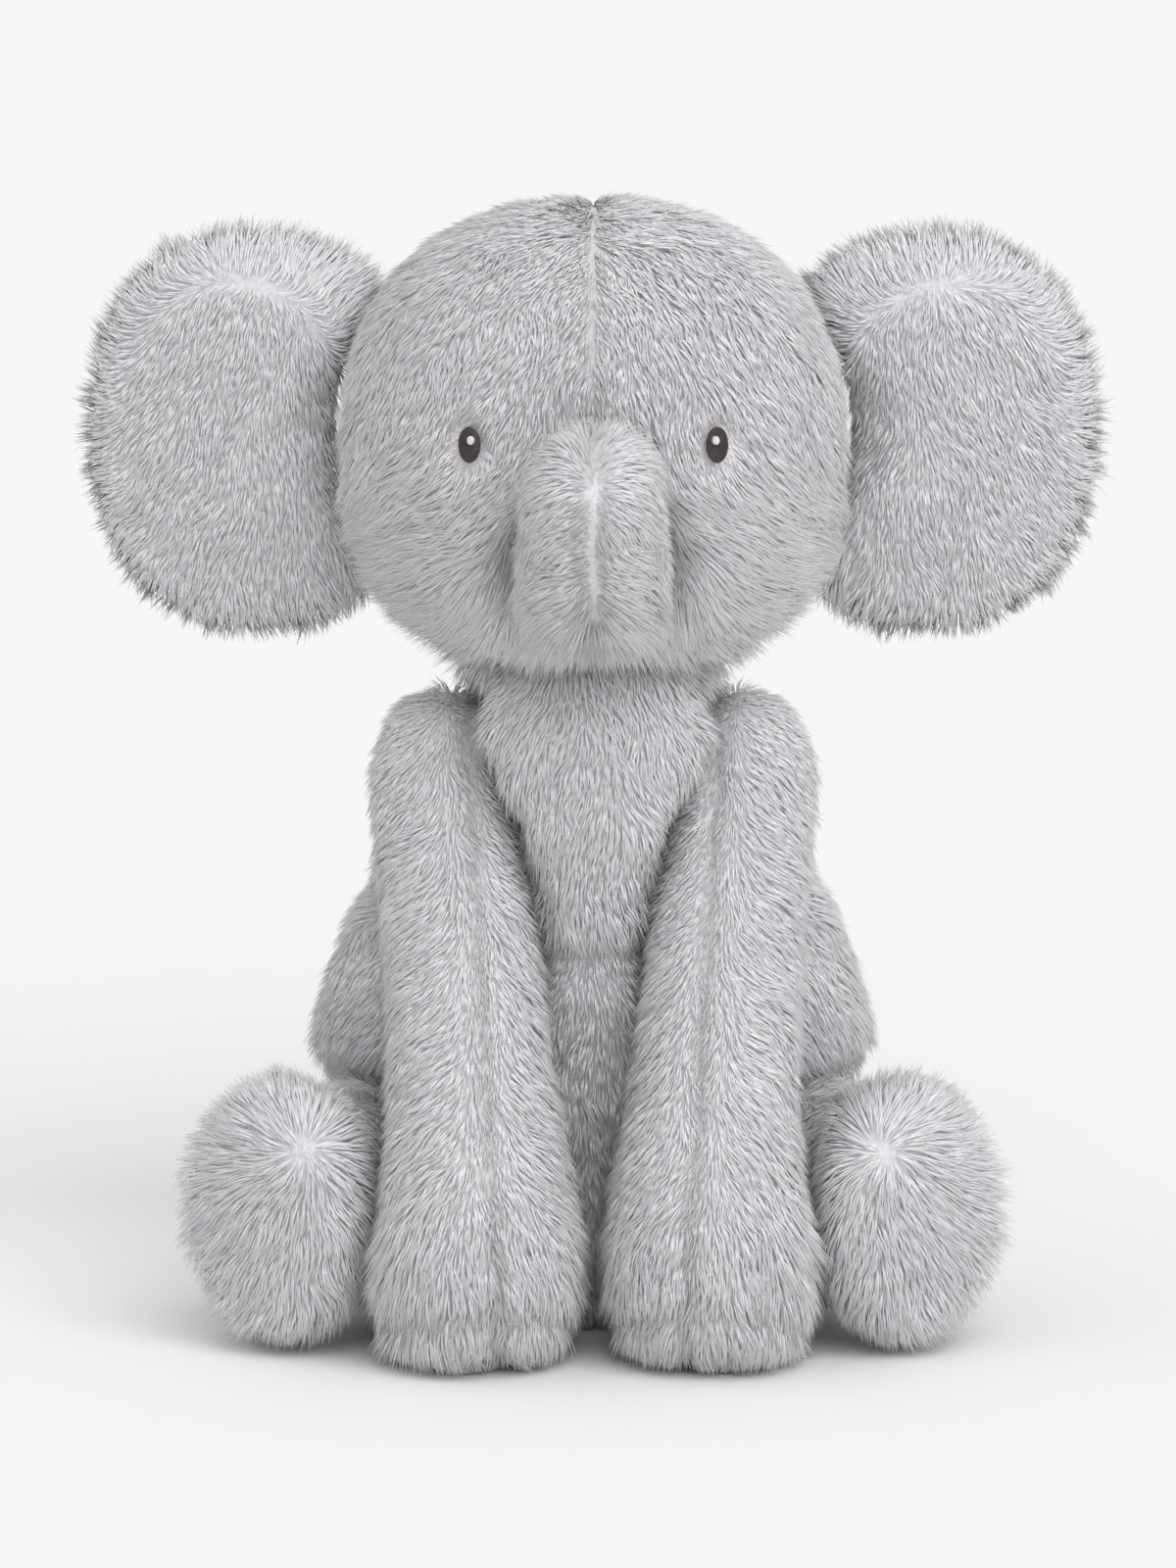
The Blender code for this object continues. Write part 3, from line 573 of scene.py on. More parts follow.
covers = {body: cover_start(f"cover_{body}", PANELS[body] + STUFFING[body]) for body in PANELS}
blow_up(list(covers.values()))
for body in [name for name in covers if name.endswith("_left")]:
    PANELS[other_side(body)] = tuple(other_side(node) for node in PANELS[body])
    STUFFING[other_side(body)] = tuple(other_side(node) for node in STUFFING[body])
    covers[other_side(body)] = mirrored(covers[body], f"cover_{other_side(body)}")


def box_of(nodes):
    """Middle and half size of the box round several CAD nodes."""
    lows, highs = zip(*(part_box(node) for node in nodes))
    low, high = np.array(lows).min(0), np.array(highs).max(0)
    return (low + high) / 2, (high - low) / 2


HEAD, HEAD_HALF = box_of(PANELS["head"])
TORSO, _ = box_of(PANELS["torso"])
CHEST_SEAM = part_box("chest_panel")[0].z
TRUNK_ROOT = JOINTS["trunk_lift"]
TRUNK_TIP = np.array([0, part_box("trunk_panel_left")[0].y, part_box("trunk_panel_left")[1].z])
EYES = {name: box_of([f"eye_{name}"]) for name in SIDES}
PAWS = {name: box_of([f"front_sole_{name}"])[0] for name in SIDES}
SOLES = {name: box_of([f"hind_sole_{name}"])[0] for name in SIDES}
EARS = {name: box_of(PANELS[f"ear_{name}"]) for name in SIDES}


def side_of(body):
    return -1 if body.endswith("_right") else 1


def hand_of(body):
    return "right" if body.endswith("_right") else "left"


def kind_of(body):
    return body.removesuffix("_left").removesuffix("_right")


def ear_rim(across, up):
    """1 on the ear's outline and 0 in its middle: (|x|^k + |z|^k)^(1/k)."""
    return (np.abs(across) ** EAR_SQUARE + np.abs(up) ** EAR_SQUARE) ** (1 / EAR_SQUARE)


def leg_line(body, p):
    """How far up a front leg each place lies, and the x of its front seam there."""
    paw, shoulder = PAWS[hand_of(body)], JOINTS[f"{body}_swing"]
    share = np.clip(p[:, 2] / shoulder[2], 0, 1)
    return share, paw[0] + (shoulder[0] - paw[0]) * share**1.3 - side_of(body) * LEG_SEAM_IN


def seam_gaps(body, p):
    """How far each place lies from the nearest seam of its cover, one row per seam."""
    side = side_of(body)
    if body in ("head", "trunk"):
        return [np.abs(p[:, 0])]
    if body == "torso":
        front = p[:, 1] < TORSO[1]
        turn = np.arctan2(np.abs(p[:, 0]), -(p[:, 1] - TORSO[1]))
        edge = np.abs(turn - CHEST_TURN) * TORSO_RADIUS
        chest = np.where(front & (turn < CHEST_SEAM_TURN), np.abs(p[:, 2] - CHEST_SEAM), 1.0)
        back = np.where(front, 1.0, np.abs(p[:, 0]))
        return [edge, chest, back]
    if body.startswith("ear"):
        middle, half = EARS[hand_of(body)]
        across, up = (p[:, 0] - middle[0]) / half[0], (p[:, 2] - middle[2]) / half[2]
        off = np.abs(p[:, 1] - middle[1] - across * 0.006 * side)
        return [np.where(ear_rim(across, up) > 0.93, off, 1.0)]
    if body.startswith("front"):
        paw = PAWS[hand_of(body)]
        share, line = leg_line(body, p)
        front = p[:, 1] < paw[1] + (JOINTS[f"{body}_swing"][1] - paw[1]) * share
        sole = 0.012 + 0.010 * np.clip((paw[1] - p[:, 1]) / 0.028, -1, 1)
        return [np.where(front, np.abs(p[:, 0] - line), 1.0), np.abs(p[:, 2] - sole)]
    hip = JOINTS[f"{body}_lift"]
    along = (p[:, 0] - hip[0]) * math.sin(HIND_SPLAY) * side
    along = along - (p[:, 1] - hip[1]) * math.cos(HIND_SPLAY)
    return [np.abs(along - HIND_SOLE_SEAM)]


def sewn(body):
    """Draws the cover in along its seams by a bell-shaped groove."""
    made = covers[body]
    p, n = points_of(made.data), normals_of(made.data)
    depth = sum(np.exp(-((gap / SEAM_WIDTH) ** 2)) for gap in seam_gaps(body, p))
    deep = FOLD_DEPTH if body == "torso" or body.startswith("front") else SEAM_DEPTH
    p = p - n * (deep * np.minimum(depth, 1.2))[:, None]
    p[:, 2] = np.maximum(p[:, 2], COVER_ABOVE_FLOOR)
    put_points(made.data, p)


def room_round(body, others):
    """How far each point of a cover is from the nearest other cover."""
    points, faces, first = [], [], 0
    for name in others:
        mesh = covers[name].data
        points.append(points_of(mesh))
        faces.append(triangles_of(mesh) + first)
        first += len(mesh.vertices)
    tree = BVHTree.FromPolygons(np.concatenate(points).tolist(), np.concatenate(faces).tolist())
    return np.array([tree.find_nearest(Vector(p))[3] for p in points_of(covers[body].data)])


# ---- which way the pile is combed --------------------------------------------------------------
def comb_head(p):
    """Down over the ball and away from its middle seam. Outwards over the cheeks, away from the
    trunk round its root, and short round the eyes."""
    q = (p - HEAD) / HEAD_HALF
    side = np.where(p[:, 0] < 0, -1.0, 1.0)
    cheek = ease(0.25, -0.45, q[:, 2]) * ease(0.2, 0.75, np.abs(q[:, 0]))
    part = np.exp(-((p[:, 0] / 0.011) ** 2)) * ease(0.0, 0.35, q[:, 2])
    way = np.stack([side * (0.12 + 0.16 * part + 1.1 * cheek), 0 * side, -1 + 0.45 * cheek], 1)
    crown = ease(0.72, 1.0, q[:, 2])
    way = way + crown[:, None] * np.stack([q[:, 0] * 2.4, -0.55 + 0 * side, 0 * side], 1)
    from_trunk = p - TRUNK_ROOT
    near = np.exp(-((np.linalg.norm(from_trunk, axis=1) / 0.027) ** 2)) * (q[:, 1] < 0)
    way = way + 1.6 * near[:, None] * unit(from_trunk)
    length = 0.86 + 0.14 * ease(0.2, -0.3, q[:, 2])
    length = length - 0.08 * np.exp(-((p[:, 0] / 0.0020) ** 2)) * ease(-0.1, 0.3, q[:, 2])
    length = length + 0.22 * ease(-0.35, -0.85, q[:, 2])
    lift = 0.36 + 0.16 * cheek - 0.08 * ease(0.6, 0.95, q[:, 2])
    lift = lift + 0.45 * ease(-0.45, -0.9, q[:, 2])
    keep = np.ones(len(p))
    for middle, _ in EYES.values():
        level = (p[:, 0] - middle[0]) / EYE_CLEAR[0]
        high = (p[:, 2] - middle[2]) / EYE_CLEAR[1]
        off = np.sqrt(level**2 + high**2)
        keep = keep * (off > 0.84)
        over = off * np.where(high > 0, 1.0, 1.35)
        length = length * (0.30 + 0.70 * ease(0.95, 2.9, over))
        lift = lift * (0.55 + 0.45 * ease(1.0, 2.4, over))
        outward = np.stack([level, 0 * level, high], 1) / np.maximum(off, 0.3)[:, None]
        way = way + outward * (0.55 * np.exp(-((off - 1) ** 2) / 0.5) * (off < 3))[:, None]
    return way, length, lift, keep


def comb_trunk(p):
    """Like the veins of a leaf: out of the seam on its front to both sides and over the tip."""
    spine_z = np.clip(p[:, 2], TRUNK_ROOT[2] - 0.008, TRUNK_TIP[2] - 0.014)
    front = ease(TRUNK_ROOT[1] + 0.004, TRUNK_TIP[1] + 0.02, p[:, 1])
    away = np.stack([p[:, 0], 0 * spine_z, p[:, 2] - spine_z], 1)
    along = np.array([0.0, 0.15, -0.75])
    way = unit(away) * (0.30 + 0.55 * front)[:, None] + along * 0.8
    low = ease(TRUNK_ROOT[2] + 0.004, TRUNK_ROOT[2] - 0.012, p[:, 2])
    length = 0.70 + 0.20 * ease(0, 0.012, np.abs(p[:, 0])) + 0.45 * low
    lift = 0.34 + 0.50 * low
    return way, length, lift, np.ones(len(p))


def comb_ear(body):
    side = side_of(body)
    middle, half = EARS[hand_of(body)]

    def comb(p):
        """Down over both faces, and out over the rim from a parting just inside it."""
        across = (p[:, 0] - middle[0]) / half[0]
        up = (p[:, 2] - middle[2]) / half[2]
        rim = ear_rim(across, up)
        out = ease(0.66, 0.88, rim) * ease(-1.25, -0.4, side * across + 0.4 * up)
        radial = unit(np.stack([across, 0 * up, up], 1))
        down = np.stack([0.22 * side + 0.5 * across, 0 * up, -1 + 0 * up], 1)
        way = down * (1 - out)[:, None] + radial * (1.7 * out)[:, None]
        length = 0.84 + 0.24 * ease(0.8, 0.97, rim)
        lift = 0.36 + 0.06 * np.exp(-(((rim - 0.80) / 0.05) ** 2)) + 0.10 * ease(0.85, 1, rim)
        return way, length, lift, np.ones(len(p))

    return comb


def comb_torso(p):
    """Down all round, spread a little from the chest's middle, longer under the chest seam."""
    side = np.sign(p[:, 0])
    low = ease(CHEST_SEAM + 0.002, CHEST_SEAM - 0.02, p[:, 2])
    front = p[:, 1] < TORSO[1] - 0.01
    way = np.stack([p[:, 0] * 9 + 0.12 * side * low * front, 0 * side, -1 + 0 * side], 1)
    under = ease(0.004, 0.0, p[:, 2])
    way = way + under[:, None] * np.stack([p[:, 0], p[:, 1] - TORSO[1], 0 * side], 1) * 60
    over_seam = np.exp(-(((p[:, 2] - CHEST_SEAM - 0.006) / 0.006) ** 2)) * front
    under_seam = np.exp(-(((p[:, 2] - CHEST_SEAM + 0.007) / 0.006) ** 2)) * front
    length = 0.88 + 0.12 * low + 0.22 * over_seam - 0.30 * under_seam
    lift = 0.38 + 0.06 * low + 0.26 * over_seam - 0.12 * under_seam
    chest = ease(0.105, 0.125, p[:, 2]) * front * ease(0.018, 0.032, np.abs(p[:, 0]))
    length = length + 0.35 * chest
    lift = lift + 0.25 * chest
    keep = 1 - 0.50 * ease(0.004, 0.001, p[:, 2])
    return way, length, lift, keep


def comb_front_leg(body):
    side = side_of(body)
    paw = PAWS[hand_of(body)]
    shoulder = JOINTS[f"{body}_swing"]

    def comb(p):
        """Down the leg and away from its front seam, then out from the middle of the paw."""
        off = p[:, 0] - leg_line(body, p)[1]
        spread = np.clip(off / 0.012, -1, 1)
        down = np.stack([0.75 * spread, 0 * off, -1 + 0 * off], 1)
        top = np.array([paw[0], paw[1] + 0.004, 0.052])
        splay = unit(p - top) + np.array([0.0, 0.0, -0.55])
        foot = ease(ANKLE_Z + 0.008, ANKLE_Z - 0.018, p[:, 2])
        way = down * (1 - foot)[:, None] + splay * (1.5 * foot)[:, None]
        part = np.exp(-((off / 0.0022) ** 2)) * (p[:, 1] < paw[1] + 0.05)
        outer = ease(0.0, 0.02, (p[:, 0] - paw[0]) * side)
        inner = ease(0.004, -0.008, off * side) * ease(0.10, 0.125, p[:, 2])
        length = 0.88 - 0.36 * part * (1 - foot) + (0.14 + 0.34 * outer) * foot
        length = length - 0.25 * inner
        length = length - 0.22 * ease(shoulder[2] - 0.004, shoulder[2] + 0.012, p[:, 2])
        lift = 0.37 + 0.10 * foot
        keep = 1 - 0.35 * ease(0.004, 0.001, p[:, 2])
        return way, length, lift, keep

    return comb


def comb_hind_leg(body):
    side = side_of(body)
    sole = SOLES[hand_of(body)]
    hip = JOINTS[f"{body}_lift"]
    ahead = np.array([math.sin(HIND_SPLAY) * side, -math.cos(HIND_SPLAY), 0.0])
    inwards = np.array([-math.cos(HIND_SPLAY) * side, -math.sin(HIND_SPLAY), 0.0])

    def comb(p):
        """Along the leg to the sole, and over the sole out from a point high on its inner
        side."""
        far = (p - hip) @ ahead
        on_sole = ease(0.040, 0.050, far)
        heart = sole + inwards * 0.010 + np.array([0, 0, 0.017])
        splay = unit(p - heart)
        down = ahead * 0.55 + np.array([0.0, 0.0, -0.85])
        way = down * (1 - on_sole)[:, None] + splay * (1.6 * on_sole)[:, None]
        length = 0.94 + 0.18 * on_sole
        lift = 0.42 + 0.12 * on_sole
        keep = 1 - 0.35 * ease(0.004, 0.001, p[:, 2])
        return way, length, lift, keep

    return comb


def comb_tail(p):
    """Straight down the tail."""
    way = np.tile([0.0, 0.05, -1.0], (len(p), 1))
    return way, np.full(len(p), 0.75), np.full(len(p), 0.45), np.ones(len(p))


# ---- pile --------------------------------------------------------------------------------------
def roots_on(points, faces, normals, extra, per_m2, rng):
    """Places spread evenly over triangles: the running total of area is cut into equal steps,
    and each place lies at random in its triangle. Normals and extra values are mixed alike."""
    a, b, c = (points[faces[:, k]] for k in range(3))
    area = np.linalg.norm(np.cross(b - a, c - a), axis=1) / 2
    count = int(area.sum() * per_m2)
    at = (np.arange(count) + rng.random(count)) / count * area.sum()
    face = np.minimum(np.searchsorted(np.cumsum(area), at), len(faces) - 1)
    u, v = rng.random(count), rng.random(count)
    turned = u + v > 1
    u[turned], v[turned] = 1 - u[turned], 1 - v[turned]
    share = np.stack([1 - u - v, u, v], 1)[..., None]
    mixed = [(values[faces[face]] * share).sum(1) for values in (points, normals, extra)]
    return mixed[0], unit(mixed[1]), mixed[2]


def hairs(place, n, way, length, lift, seed):
    """Each hair is a bent spindle: its root, a ring of three points at HAIR_BEND of its length
    and its tip. Along the hair, with s from 0 to 1, it runs s cos(angle) along the combed way and
    (1.55 s - 0.55 s^2) sin(angle) off the cloth, and leans to its tuft's middle by s^1.5."""
    rng = np.random.default_rng(seed)
    count = len(place)
    flat = way - n * (way * n).sum(1, keepdims=True)
    lift = lift + 0.52 * np.exp(-((np.linalg.norm(flat, axis=1) / 0.38) ** 2))
    flat = unit(flat)
    side = np.cross(n, flat)
    swirl = 0.27 * waves(place, 0.022, seed + 1) + 0.16 * waves(place, 0.009, seed + 4)
    swirl = swirl + 0.10 * rng.normal(size=count)
    centre, mark = tufts(place, TUFT, seed + 2)
    swirl = swirl + 0.34 * (mark - 0.5)
    flat = flat * np.cos(swirl)[:, None] + side * np.sin(swirl)[:, None]
    side = np.cross(n, flat)
    length = length * HAIR_LENGTH * rng.uniform(0.72, 1.12, count) * (0.92 + 0.16 * mark)
    angle = lift * (1 + 0.26 * waves(place, 0.015, seed + 3)) + rng.normal(size=count) * 0.07
    angle = angle + 0.14 * (mark - 0.5)
    ahead, rise = np.cos(angle)[:, None], np.sin(angle)[:, None]
    to_tuft = centre + n * (HAIR_LENGTH * 0.3) - place
    to_tuft = to_tuft - n * (to_tuft * n).sum(1, keepdims=True)
    long = length[:, None]

    def at(s):
        return (
            place
            + long * (s * ahead * flat + (1.55 * s - 0.55 * s * s) * rise * n)
            + TUFT_PULL * s**1.5 * to_tuft * np.minimum(1, long / HAIR_LENGTH)
        )

    root = place - n * ROOT_IN
    belly, tip = at(HAIR_BEND), at(1.0)
    along = unit(tip - root)
    across = unit(side - along * (side * along).sum(1, keepdims=True))
    over = np.cross(along, across)
    wide = (HAIR_WIDTH / 2 * rng.uniform(0.75, 1.2, count))[:, None]
    roll = rng.uniform(-0.6, 0.6, count)
    ring = []
    for k in range(3):
        turn = roll + 2 * math.pi * (k / 3 + 0.25)
        ring.append(
            belly
            + across * np.cos(turn)[:, None] * wide
            + over * np.sin(turn)[:, None] * wide * HAIR_FLAT
        )
    return np.stack([root, *ring, tip], 1), mark, rng.random(count)


HAIR_FACES = np.array([(0, 2, 1), (0, 3, 2), (0, 1, 3), (1, 2, 4), (2, 3, 4), (3, 1, 4)])
HAIR_ALONG = np.array([0.0, 0.4, 0.4, 0.4, 1.0])  # for the colour, from the root to the tip
HAIR_BASE = np.array([0.85, 0.65, 0.65, 0.65, 0.2])  # how far it is lit as the cloth under it
HAIR_OWN = np.array([0.40, 0.50, 0.50, 0.50, 0.8])  # and how far as a round hair
HAIR_CORNER = np.array([(0.5, 0.04), (0.1, 0.42), (0.9, 0.42), (0.5, 0.46), (0.5, 0.96)])


def pile(name, body, points, n, mark, chance, crease_shade):
    """One piece of pile from its hairs. Each hair's colour numbers are how far along it a point
    lies, its own random number, its tuft's and how much painted shade it takes in a crease or
    along a seam, and each has its own cell of the map."""
    count = len(points)
    faces = (HAIR_FACES[None] + 5 * np.arange(count)[:, None, None]).reshape(-1, 3)
    made = make_piece(name, points.reshape(-1, 3), faces, PLUSH_PILE, body)
    mesh = made.data
    shade = np.ones((count, 5, 4), np.float32)
    shade[..., 0] = HAIR_ALONG
    shade[..., 1] = chance[:, None]
    shade[..., 2] = mark[:, None]
    shade[..., 3] = crease_shade[:, None]
    mesh.attributes.new("hair", "FLOAT_COLOR", "POINT").data.foreach_set("color", shade.ravel())
    across = math.ceil(math.sqrt(count))
    cell = np.stack([np.arange(count) % across, np.arange(count) // across], 1)
    spot = HAIR_CORNER[HAIR_FACES].reshape(1, 18, 2)
    uv = (cell[:, None, :] + spot) / across
    layer = mesh.uv_layers.new(name="OFBake")
    layer.uv.foreach_set("vector", uv.astype(np.float32).ravel())
    own = normals_of(mesh).reshape(count, 5, 3) * HAIR_OWN[None, :, None]
    own = unit((own + n[:, None] * HAIR_BASE[None, :, None]).reshape(-1, 3))
    mesh.normals_split_custom_set_from_vertices(own.tolist())
    return made


def painted_crease_shade(body, p, space):
    """Painted shade on the pile: from 0 in the open to 1 where two covers meet, and part of that along a seam."""
    met = 0.95 * ease(*CREASE_SHADE_REACH, space)
    if body == "tail":
        return met
    gap = np.minimum.reduce(seam_gaps(body, p))
    share = SEAM_SHADE[kind_of(body)]
    return np.maximum(met, share * np.exp(-((gap / SEAM_SHADE_WIDTH) ** 2)))


def grow(body, comb, room, per_m2, seed, parts):
    """Pile over one cover. parts gives each piece's name and which places belong to it."""
    mesh = covers[body].data
    rng = np.random.default_rng(seed)
    p, n, space = roots_on(
        points_of(mesh), triangles_of(mesh), normals_of(mesh), room[:, None], per_m2, rng
    )
    way, length, lift, keep = comb(p)
    space = space[:, 0]
    keep = keep * (0.55 + 0.45 * ease(*CROWDED, space))
    lift = lift + 0.55 * ease(*STANDS_UP, space)
    kept = (rng.random(len(p)) < keep) & (space > LEAST_ROOM)
    p, n, way, space = p[kept], n[kept], way[kept], space[kept]
    length, lift = length[kept], lift[kept]
    length = np.minimum(length, np.maximum(space * 1.25, 0.0024) / HAIR_LENGTH)
    points, mark, chance = hairs(p, n, way, length, lift, seed)
    crease_shade = painted_crease_shade(body, p, space)
    lowest = HAIR_ABOVE_FLOOR + 0.0002 * chance[:, None]
    points[..., 2] = np.maximum(points[..., 2], lowest)
    for name, belongs in parts:
        some = belongs(p)
        pile(f"pile_{name}", body, *(rows[some] for rows in (points, n, mark, chance, crease_shade)))


for body in covers:
    sewn(body)

# the tail is a cover of its own, small enough to need no filling pass
covers["tail"] = cover_start("cover_tail", ("tail",))
rooms = {body: room_round(body, [o for o in covers if o != body]) for body in covers}

EVERYWHERE = (lambda p: np.ones(len(p), bool),)


def quarters(body, middle):
    """Front and back pieces of both halves of one body's pile."""
    return (
        (f"{body}_front_left", lambda p: (p[:, 0] >= 0) & (p[:, 1] < middle)),
        (f"{body}_front_right", lambda p: (p[:, 0] < 0) & (p[:, 1] < middle)),
        (f"{body}_back_left", lambda p: (p[:, 0] >= 0) & (p[:, 1] >= middle)),
        (f"{body}_back_right", lambda p: (p[:, 0] < 0) & (p[:, 1] >= middle)),
    )


grow("torso", comb_torso, rooms["torso"], HAIRS_PER_M2, 11, quarters("torso", TORSO[1]))
grow("head", comb_head, rooms["head"], HAIRS_PER_M2 * 1.15, 12, quarters("head", HEAD[1]))
grow("trunk", comb_trunk, rooms["trunk"], HAIRS_PER_M2 * 1.2, 13, (("trunk", *EVERYWHERE),))
grow("tail", comb_tail, rooms["tail"], HAIRS_PER_M2, 14, (("tail", *EVERYWHERE),))
for number, side_name in enumerate(SIDES):
    for kind, comb, seed in (
        ("ear", comb_ear, 21),
        ("front_leg", comb_front_leg, 31),
        ("hind_leg", comb_hind_leg, 41),
    ):
        limb = f"{kind}_{side_name}"
        grow(limb, comb(limb), rooms[limb], HAIRS_PER_M2, seed + number, ((limb, *EVERYWHERE),))

for body, made in covers.items():
    subdivided(made)
    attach(made, body)
    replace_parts(made, *(PANELS.get(body) or (body,)))


# ---- filling -----------------------------------------------------------------------------------
def lumpy(node, finish, wavelength, depth, seed):
    """The merged CAD filling, subdivided, with hollows between its lumps: each point is drawn in
    by depth times waves over the form."""
    body = next(b for b, nodes in frame["record"]["behaviour"]["bodies"].items() if node in nodes)
    points, faces = merged([node])
    made = make_piece(f"stuffing_{node}", points, faces, finish, body)
    subdivided(made)
    p, n = points_of(made.data), normals_of(made.data)
    sink = STUFFING_IN + depth * (0.5 + 0.5 * waves(p, wavelength, seed))
    put_points(made.data, p - n * np.clip(sink, STUFFING_LEAST, None)[:, None])
    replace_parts(made, node)


for seed, node in enumerate(sorted(n for nodes in STUFFING.values() for n in nodes)):
    if node == "pellet_bag":
        lumpy(node, BAG_WEAVE, 0.006, 0.0006, seed)
    else:
        lumpy(node, FIBRE, 0.014, 0.0012, seed)


# ---- eyes --------------------------------------------------------------------------------------
def stitched_oval(name, node, finish, ridges, raised):
    """Satin stitch over an oval. With u round it and v from its middle to its edge, the height is
    a low dome, (1 - v^2)^0.5, with a sine ridge for every stitch laid across it."""
    mesh = frame["nodes"][node].data
    p = points_of(mesh)
    middle = p.mean(0)
    _, _, axes = np.linalg.svd(p - middle)
    high, wide, out = axes
    out = out * -np.sign(out[1])
    high = high * np.sign(high[2])
    wide = np.cross(out, high)
    half = [np.abs((p - middle) @ axis).max() for axis in (wide, high)]
    around, rings = 96, 22
    u = 2 * math.pi * np.arange(around)[None, :] / around
    v = np.concatenate([[0.0], (np.arange(1, rings) + 0.5) / (rings - 0.5)])[:, None]
    a, b = v * np.cos(u), v * np.sin(u)
    slant = b + 0.35 * a
    ridge = 0.5 + 0.5 * np.cos(slant * ridges * math.pi)
    dome = np.sqrt(np.maximum(1 - v**2, 0)) * STITCH_DOME
    height = dome * (0.72 + 0.28 * ridge) + raised
    fray = 1 + 0.035 * np.cos(slant * ridges * math.pi) * v
    front = (
        middle
        + wide * (a * half[0] * fray)[..., None]
        + high * (b * half[1])[..., None]
        + out * height[..., None]
    )
    back = front[::-1][1:] - out * (STITCH_BACK + 1.6 * dome[::-1][1:, :, None])
    grid = np.concatenate([front, back])
    rows = len(grid)
    index = np.arange(rows * around).reshape(rows, around)
    index[0] = index[0, 0]
    index[-1] = index[-1, 0]
    nearer, further = index[:-1], index[1:]
    turned = np.roll(index, -1, axis=1)
    first = np.stack([nearer, further, turned[1:]], -1).reshape(-1, 3)
    second = np.stack([nearer, turned[1:], turned[:-1]], -1).reshape(-1, 3)
    faces = np.concatenate([first, second])
    whole = (faces != np.roll(faces, 1, axis=1)).all(1)
    faces = faces[whole]
    used, number = np.unique(faces, return_inverse=True)
    points, faces = grid.reshape(-1, 3)[used], number.reshape(-1, 3)
    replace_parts(make_piece(name, points, faces, finish, "head"), node)


for side_name in SIDES:
    eye = f"eye_{side_name}"
    stitched_oval(f"embroidered_{eye}", eye, EYE_SILK, EYE_RIDGES, EYE_RAISED)
    glint = f"eye_glint_{side_name}"
    stitched_oval(
        f"embroidered_{glint}", glint, GLINT_SILK, GLINT_RIDGES, GLINT_RAISED
    )


# ---- label and joint threads -------------------------------------------------------------------
def ribbon_label():
    """A blank satin ribbon: a grid over its length t and width s, both from -1 to 1, that curls
    off its flat by LABEL_CURL cos(0.8 pi t) + LABEL_TWIST s t."""
    mesh = frame["nodes"]["care_label"].data
    p = points_of(mesh)
    middle = p.mean(0)
    _, _, axes = np.linalg.svd(p - middle)
    long, wide, thin = axes
    long = long * -np.sign(long[2])
    half = [np.abs((p - middle) @ axis).max() for axis in (long, wide)]
    t, s = np.meshgrid(np.linspace(-1, 1, 31), np.linspace(-1, 1, 23), indexing="ij")
    curl = LABEL_CURL * np.cos(math.pi * t * 0.8) + LABEL_TWIST * s * t
    grid = (
        middle
        + long * (t * half[0])[..., None]
        + wide * (s * half[1])[..., None]
        + thin * curl[..., None]
    )
    index = np.arange(t.size).reshape(t.shape)
    faces = np.stack([index[:-1, :-1], index[1:, :-1], index[1:, 1:], index[:-1, 1:]], -1)
    points, faces = grid.reshape(-1, 3), faces.reshape(-1, 4)
    made = make_piece("ribbon_label", points, faces, LABEL_SATIN, "torso")
    wall = made.modifiers.new("ribbon", "SOLIDIFY")
    wall.thickness = LABEL_WALL
    wall.offset = 0
    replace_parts(made, "care_label")


ribbon_label()
for node, made in frame["nodes"].items():
    if not made.hide_render:
        made.data.materials.clear()
        made.data.materials.append(JOINT_THREAD)

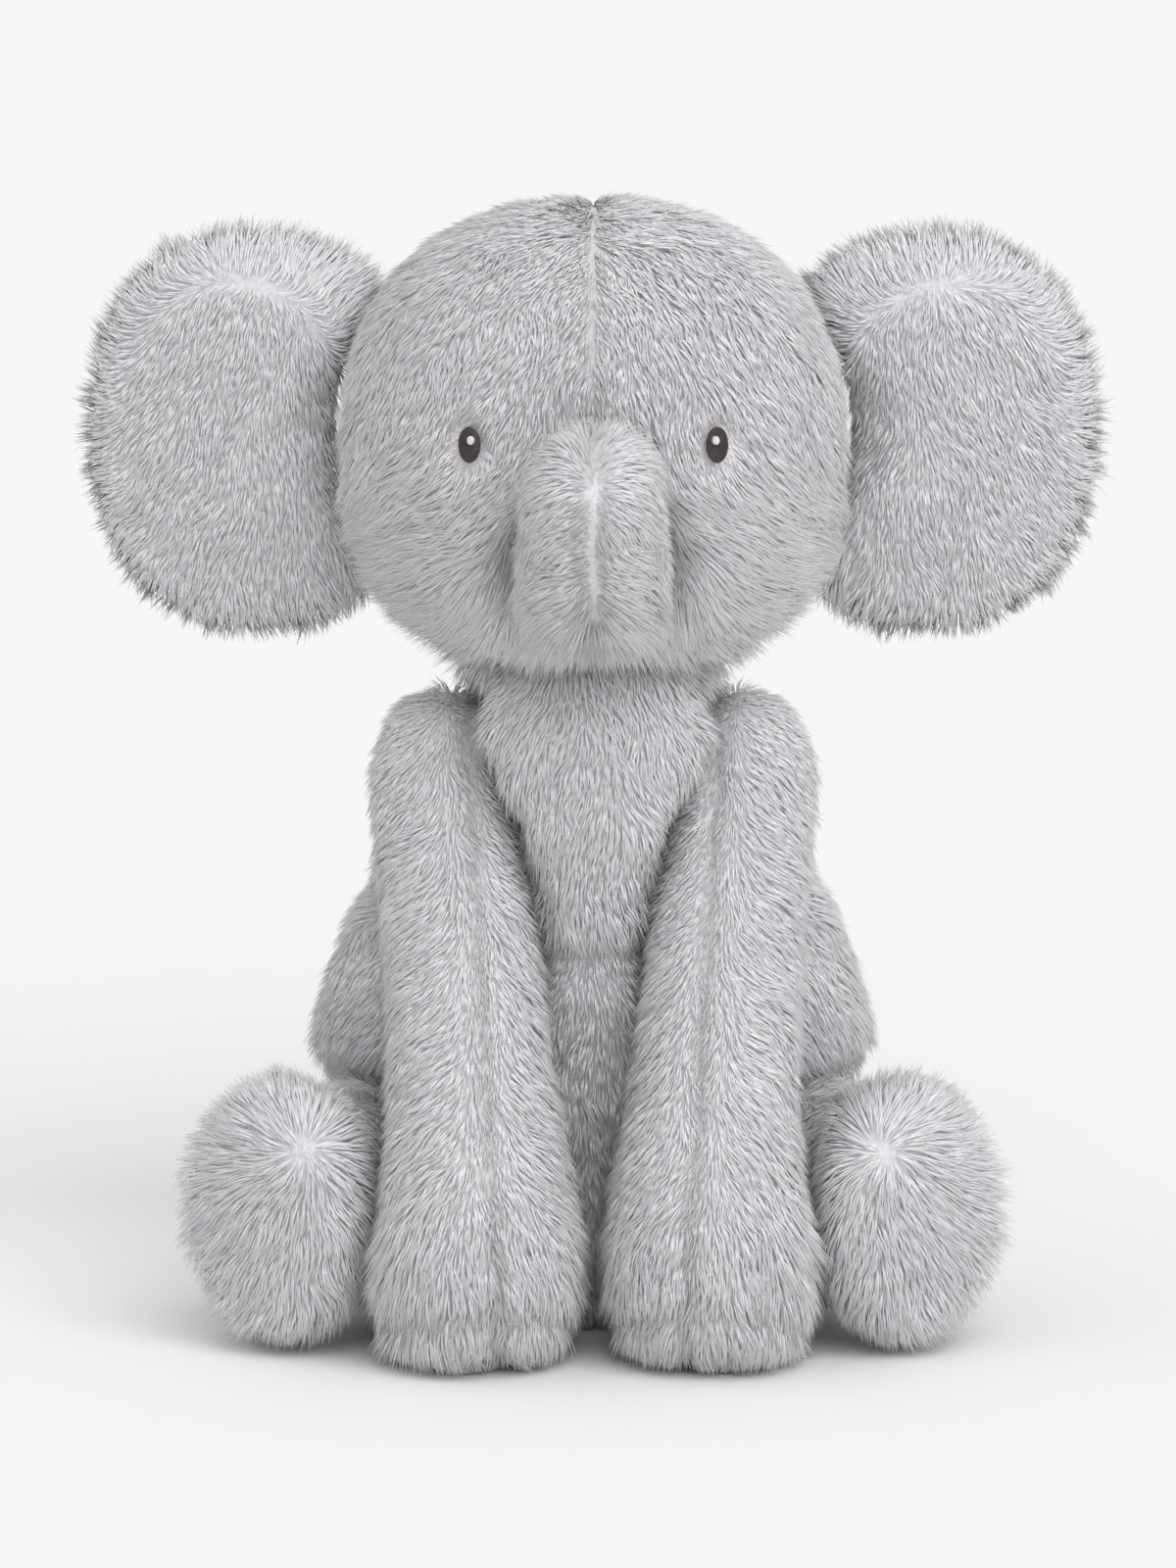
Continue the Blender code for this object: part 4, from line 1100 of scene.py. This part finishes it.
# ---- floor, light and camera -------------------------------------------------------------------
FLOOR_HALF = 60
floor_finish, floor_tree, floor_shader = material("pale_floor", 0.9, specular=0.1)
pale = mottled(floor_tree, (0.960, 0.960, 0.960), (0.955, 0.955, 0.955), 2)
floor_tree.links.new(pale, floor_shader.inputs["Base Color"])
corners = np.array([(-1, -1, 0), (1, -1, 0), (1, 1, 0), (-1, 1, 0)], float) * FLOOR_HALF
floor = make_piece("floor", corners, [(0, 1, 2, 3)], floor_finish, None)


def studio():
    """Even light from all round. What the camera itself sees of it is as pale as the floor."""
    world = bpy.data.worlds.new("studio")
    bpy.context.scene.world = world
    world.use_nodes = True
    tree = world.node_tree
    light, seen = tree.nodes["Background"], add(tree, "ShaderNodeBackground")
    put(light, Color=(1, 1, 1, 1), Strength=WORLD_LIGHT)
    seen.inputs["Color"].default_value = (*BACKDROP, 1)
    ray, both = add(tree, "ShaderNodeLightPath"), add(tree, "ShaderNodeMixShader")
    tree.links.new(ray.outputs["Is Camera Ray"], both.inputs["Fac"])
    tree.links.new(light.outputs["Background"], both.inputs[1])
    tree.links.new(seen.outputs["Background"], both.inputs[2])
    tree.links.new(both.outputs["Shader"], tree.nodes["World Output"].inputs["Surface"])


def soft_sun(name, way, strength, spread):
    """A light as wide as a softbox, equally strong all over the floor."""
    data = bpy.data.lights.new(name, "SUN")
    data.energy = strength
    data.angle = math.radians(spread)
    lamp = bpy.data.objects.new(name, data)
    lamp.rotation_euler = Vector(way).to_track_quat("-Z", "Y").to_euler()
    bpy.context.scene.collection.objects.link(lamp)


WORLD_LIGHT = 0.55
BACKDROP = (0.945, 0.945, 0.945)
studio()
soft_sun("key_light", (-0.42, 1.0, -0.78), 1.80, 55)
soft_sun("top_light", (0.35, 0.5, -1.1), 0.36, 80)

FIELD = 0.4043  # height of the view at the toy, in metres
DISTANCE = 1.6
SENSOR = 36  # in millimetres
LOOK_DOWN = math.radians(8)
aim = Vector((-0.0013, 0, 0.1425))
camera_data = bpy.data.cameras.new("camera")
camera_data.sensor_width = SENSOR
camera_data.lens = SENSOR * DISTANCE / FIELD
camera = bpy.data.objects.new("camera", camera_data)
bpy.context.scene.collection.objects.link(camera)
camera.location = aim + DISTANCE * Vector((0, -math.cos(LOOK_DOWN), math.sin(LOOK_DOWN)))
camera.rotation_euler = (aim - camera.location).to_track_quat("-Z", "Y").to_euler()
bpy.context.scene.camera = camera
bpy.context.scene.view_settings.view_transform = "Standard"
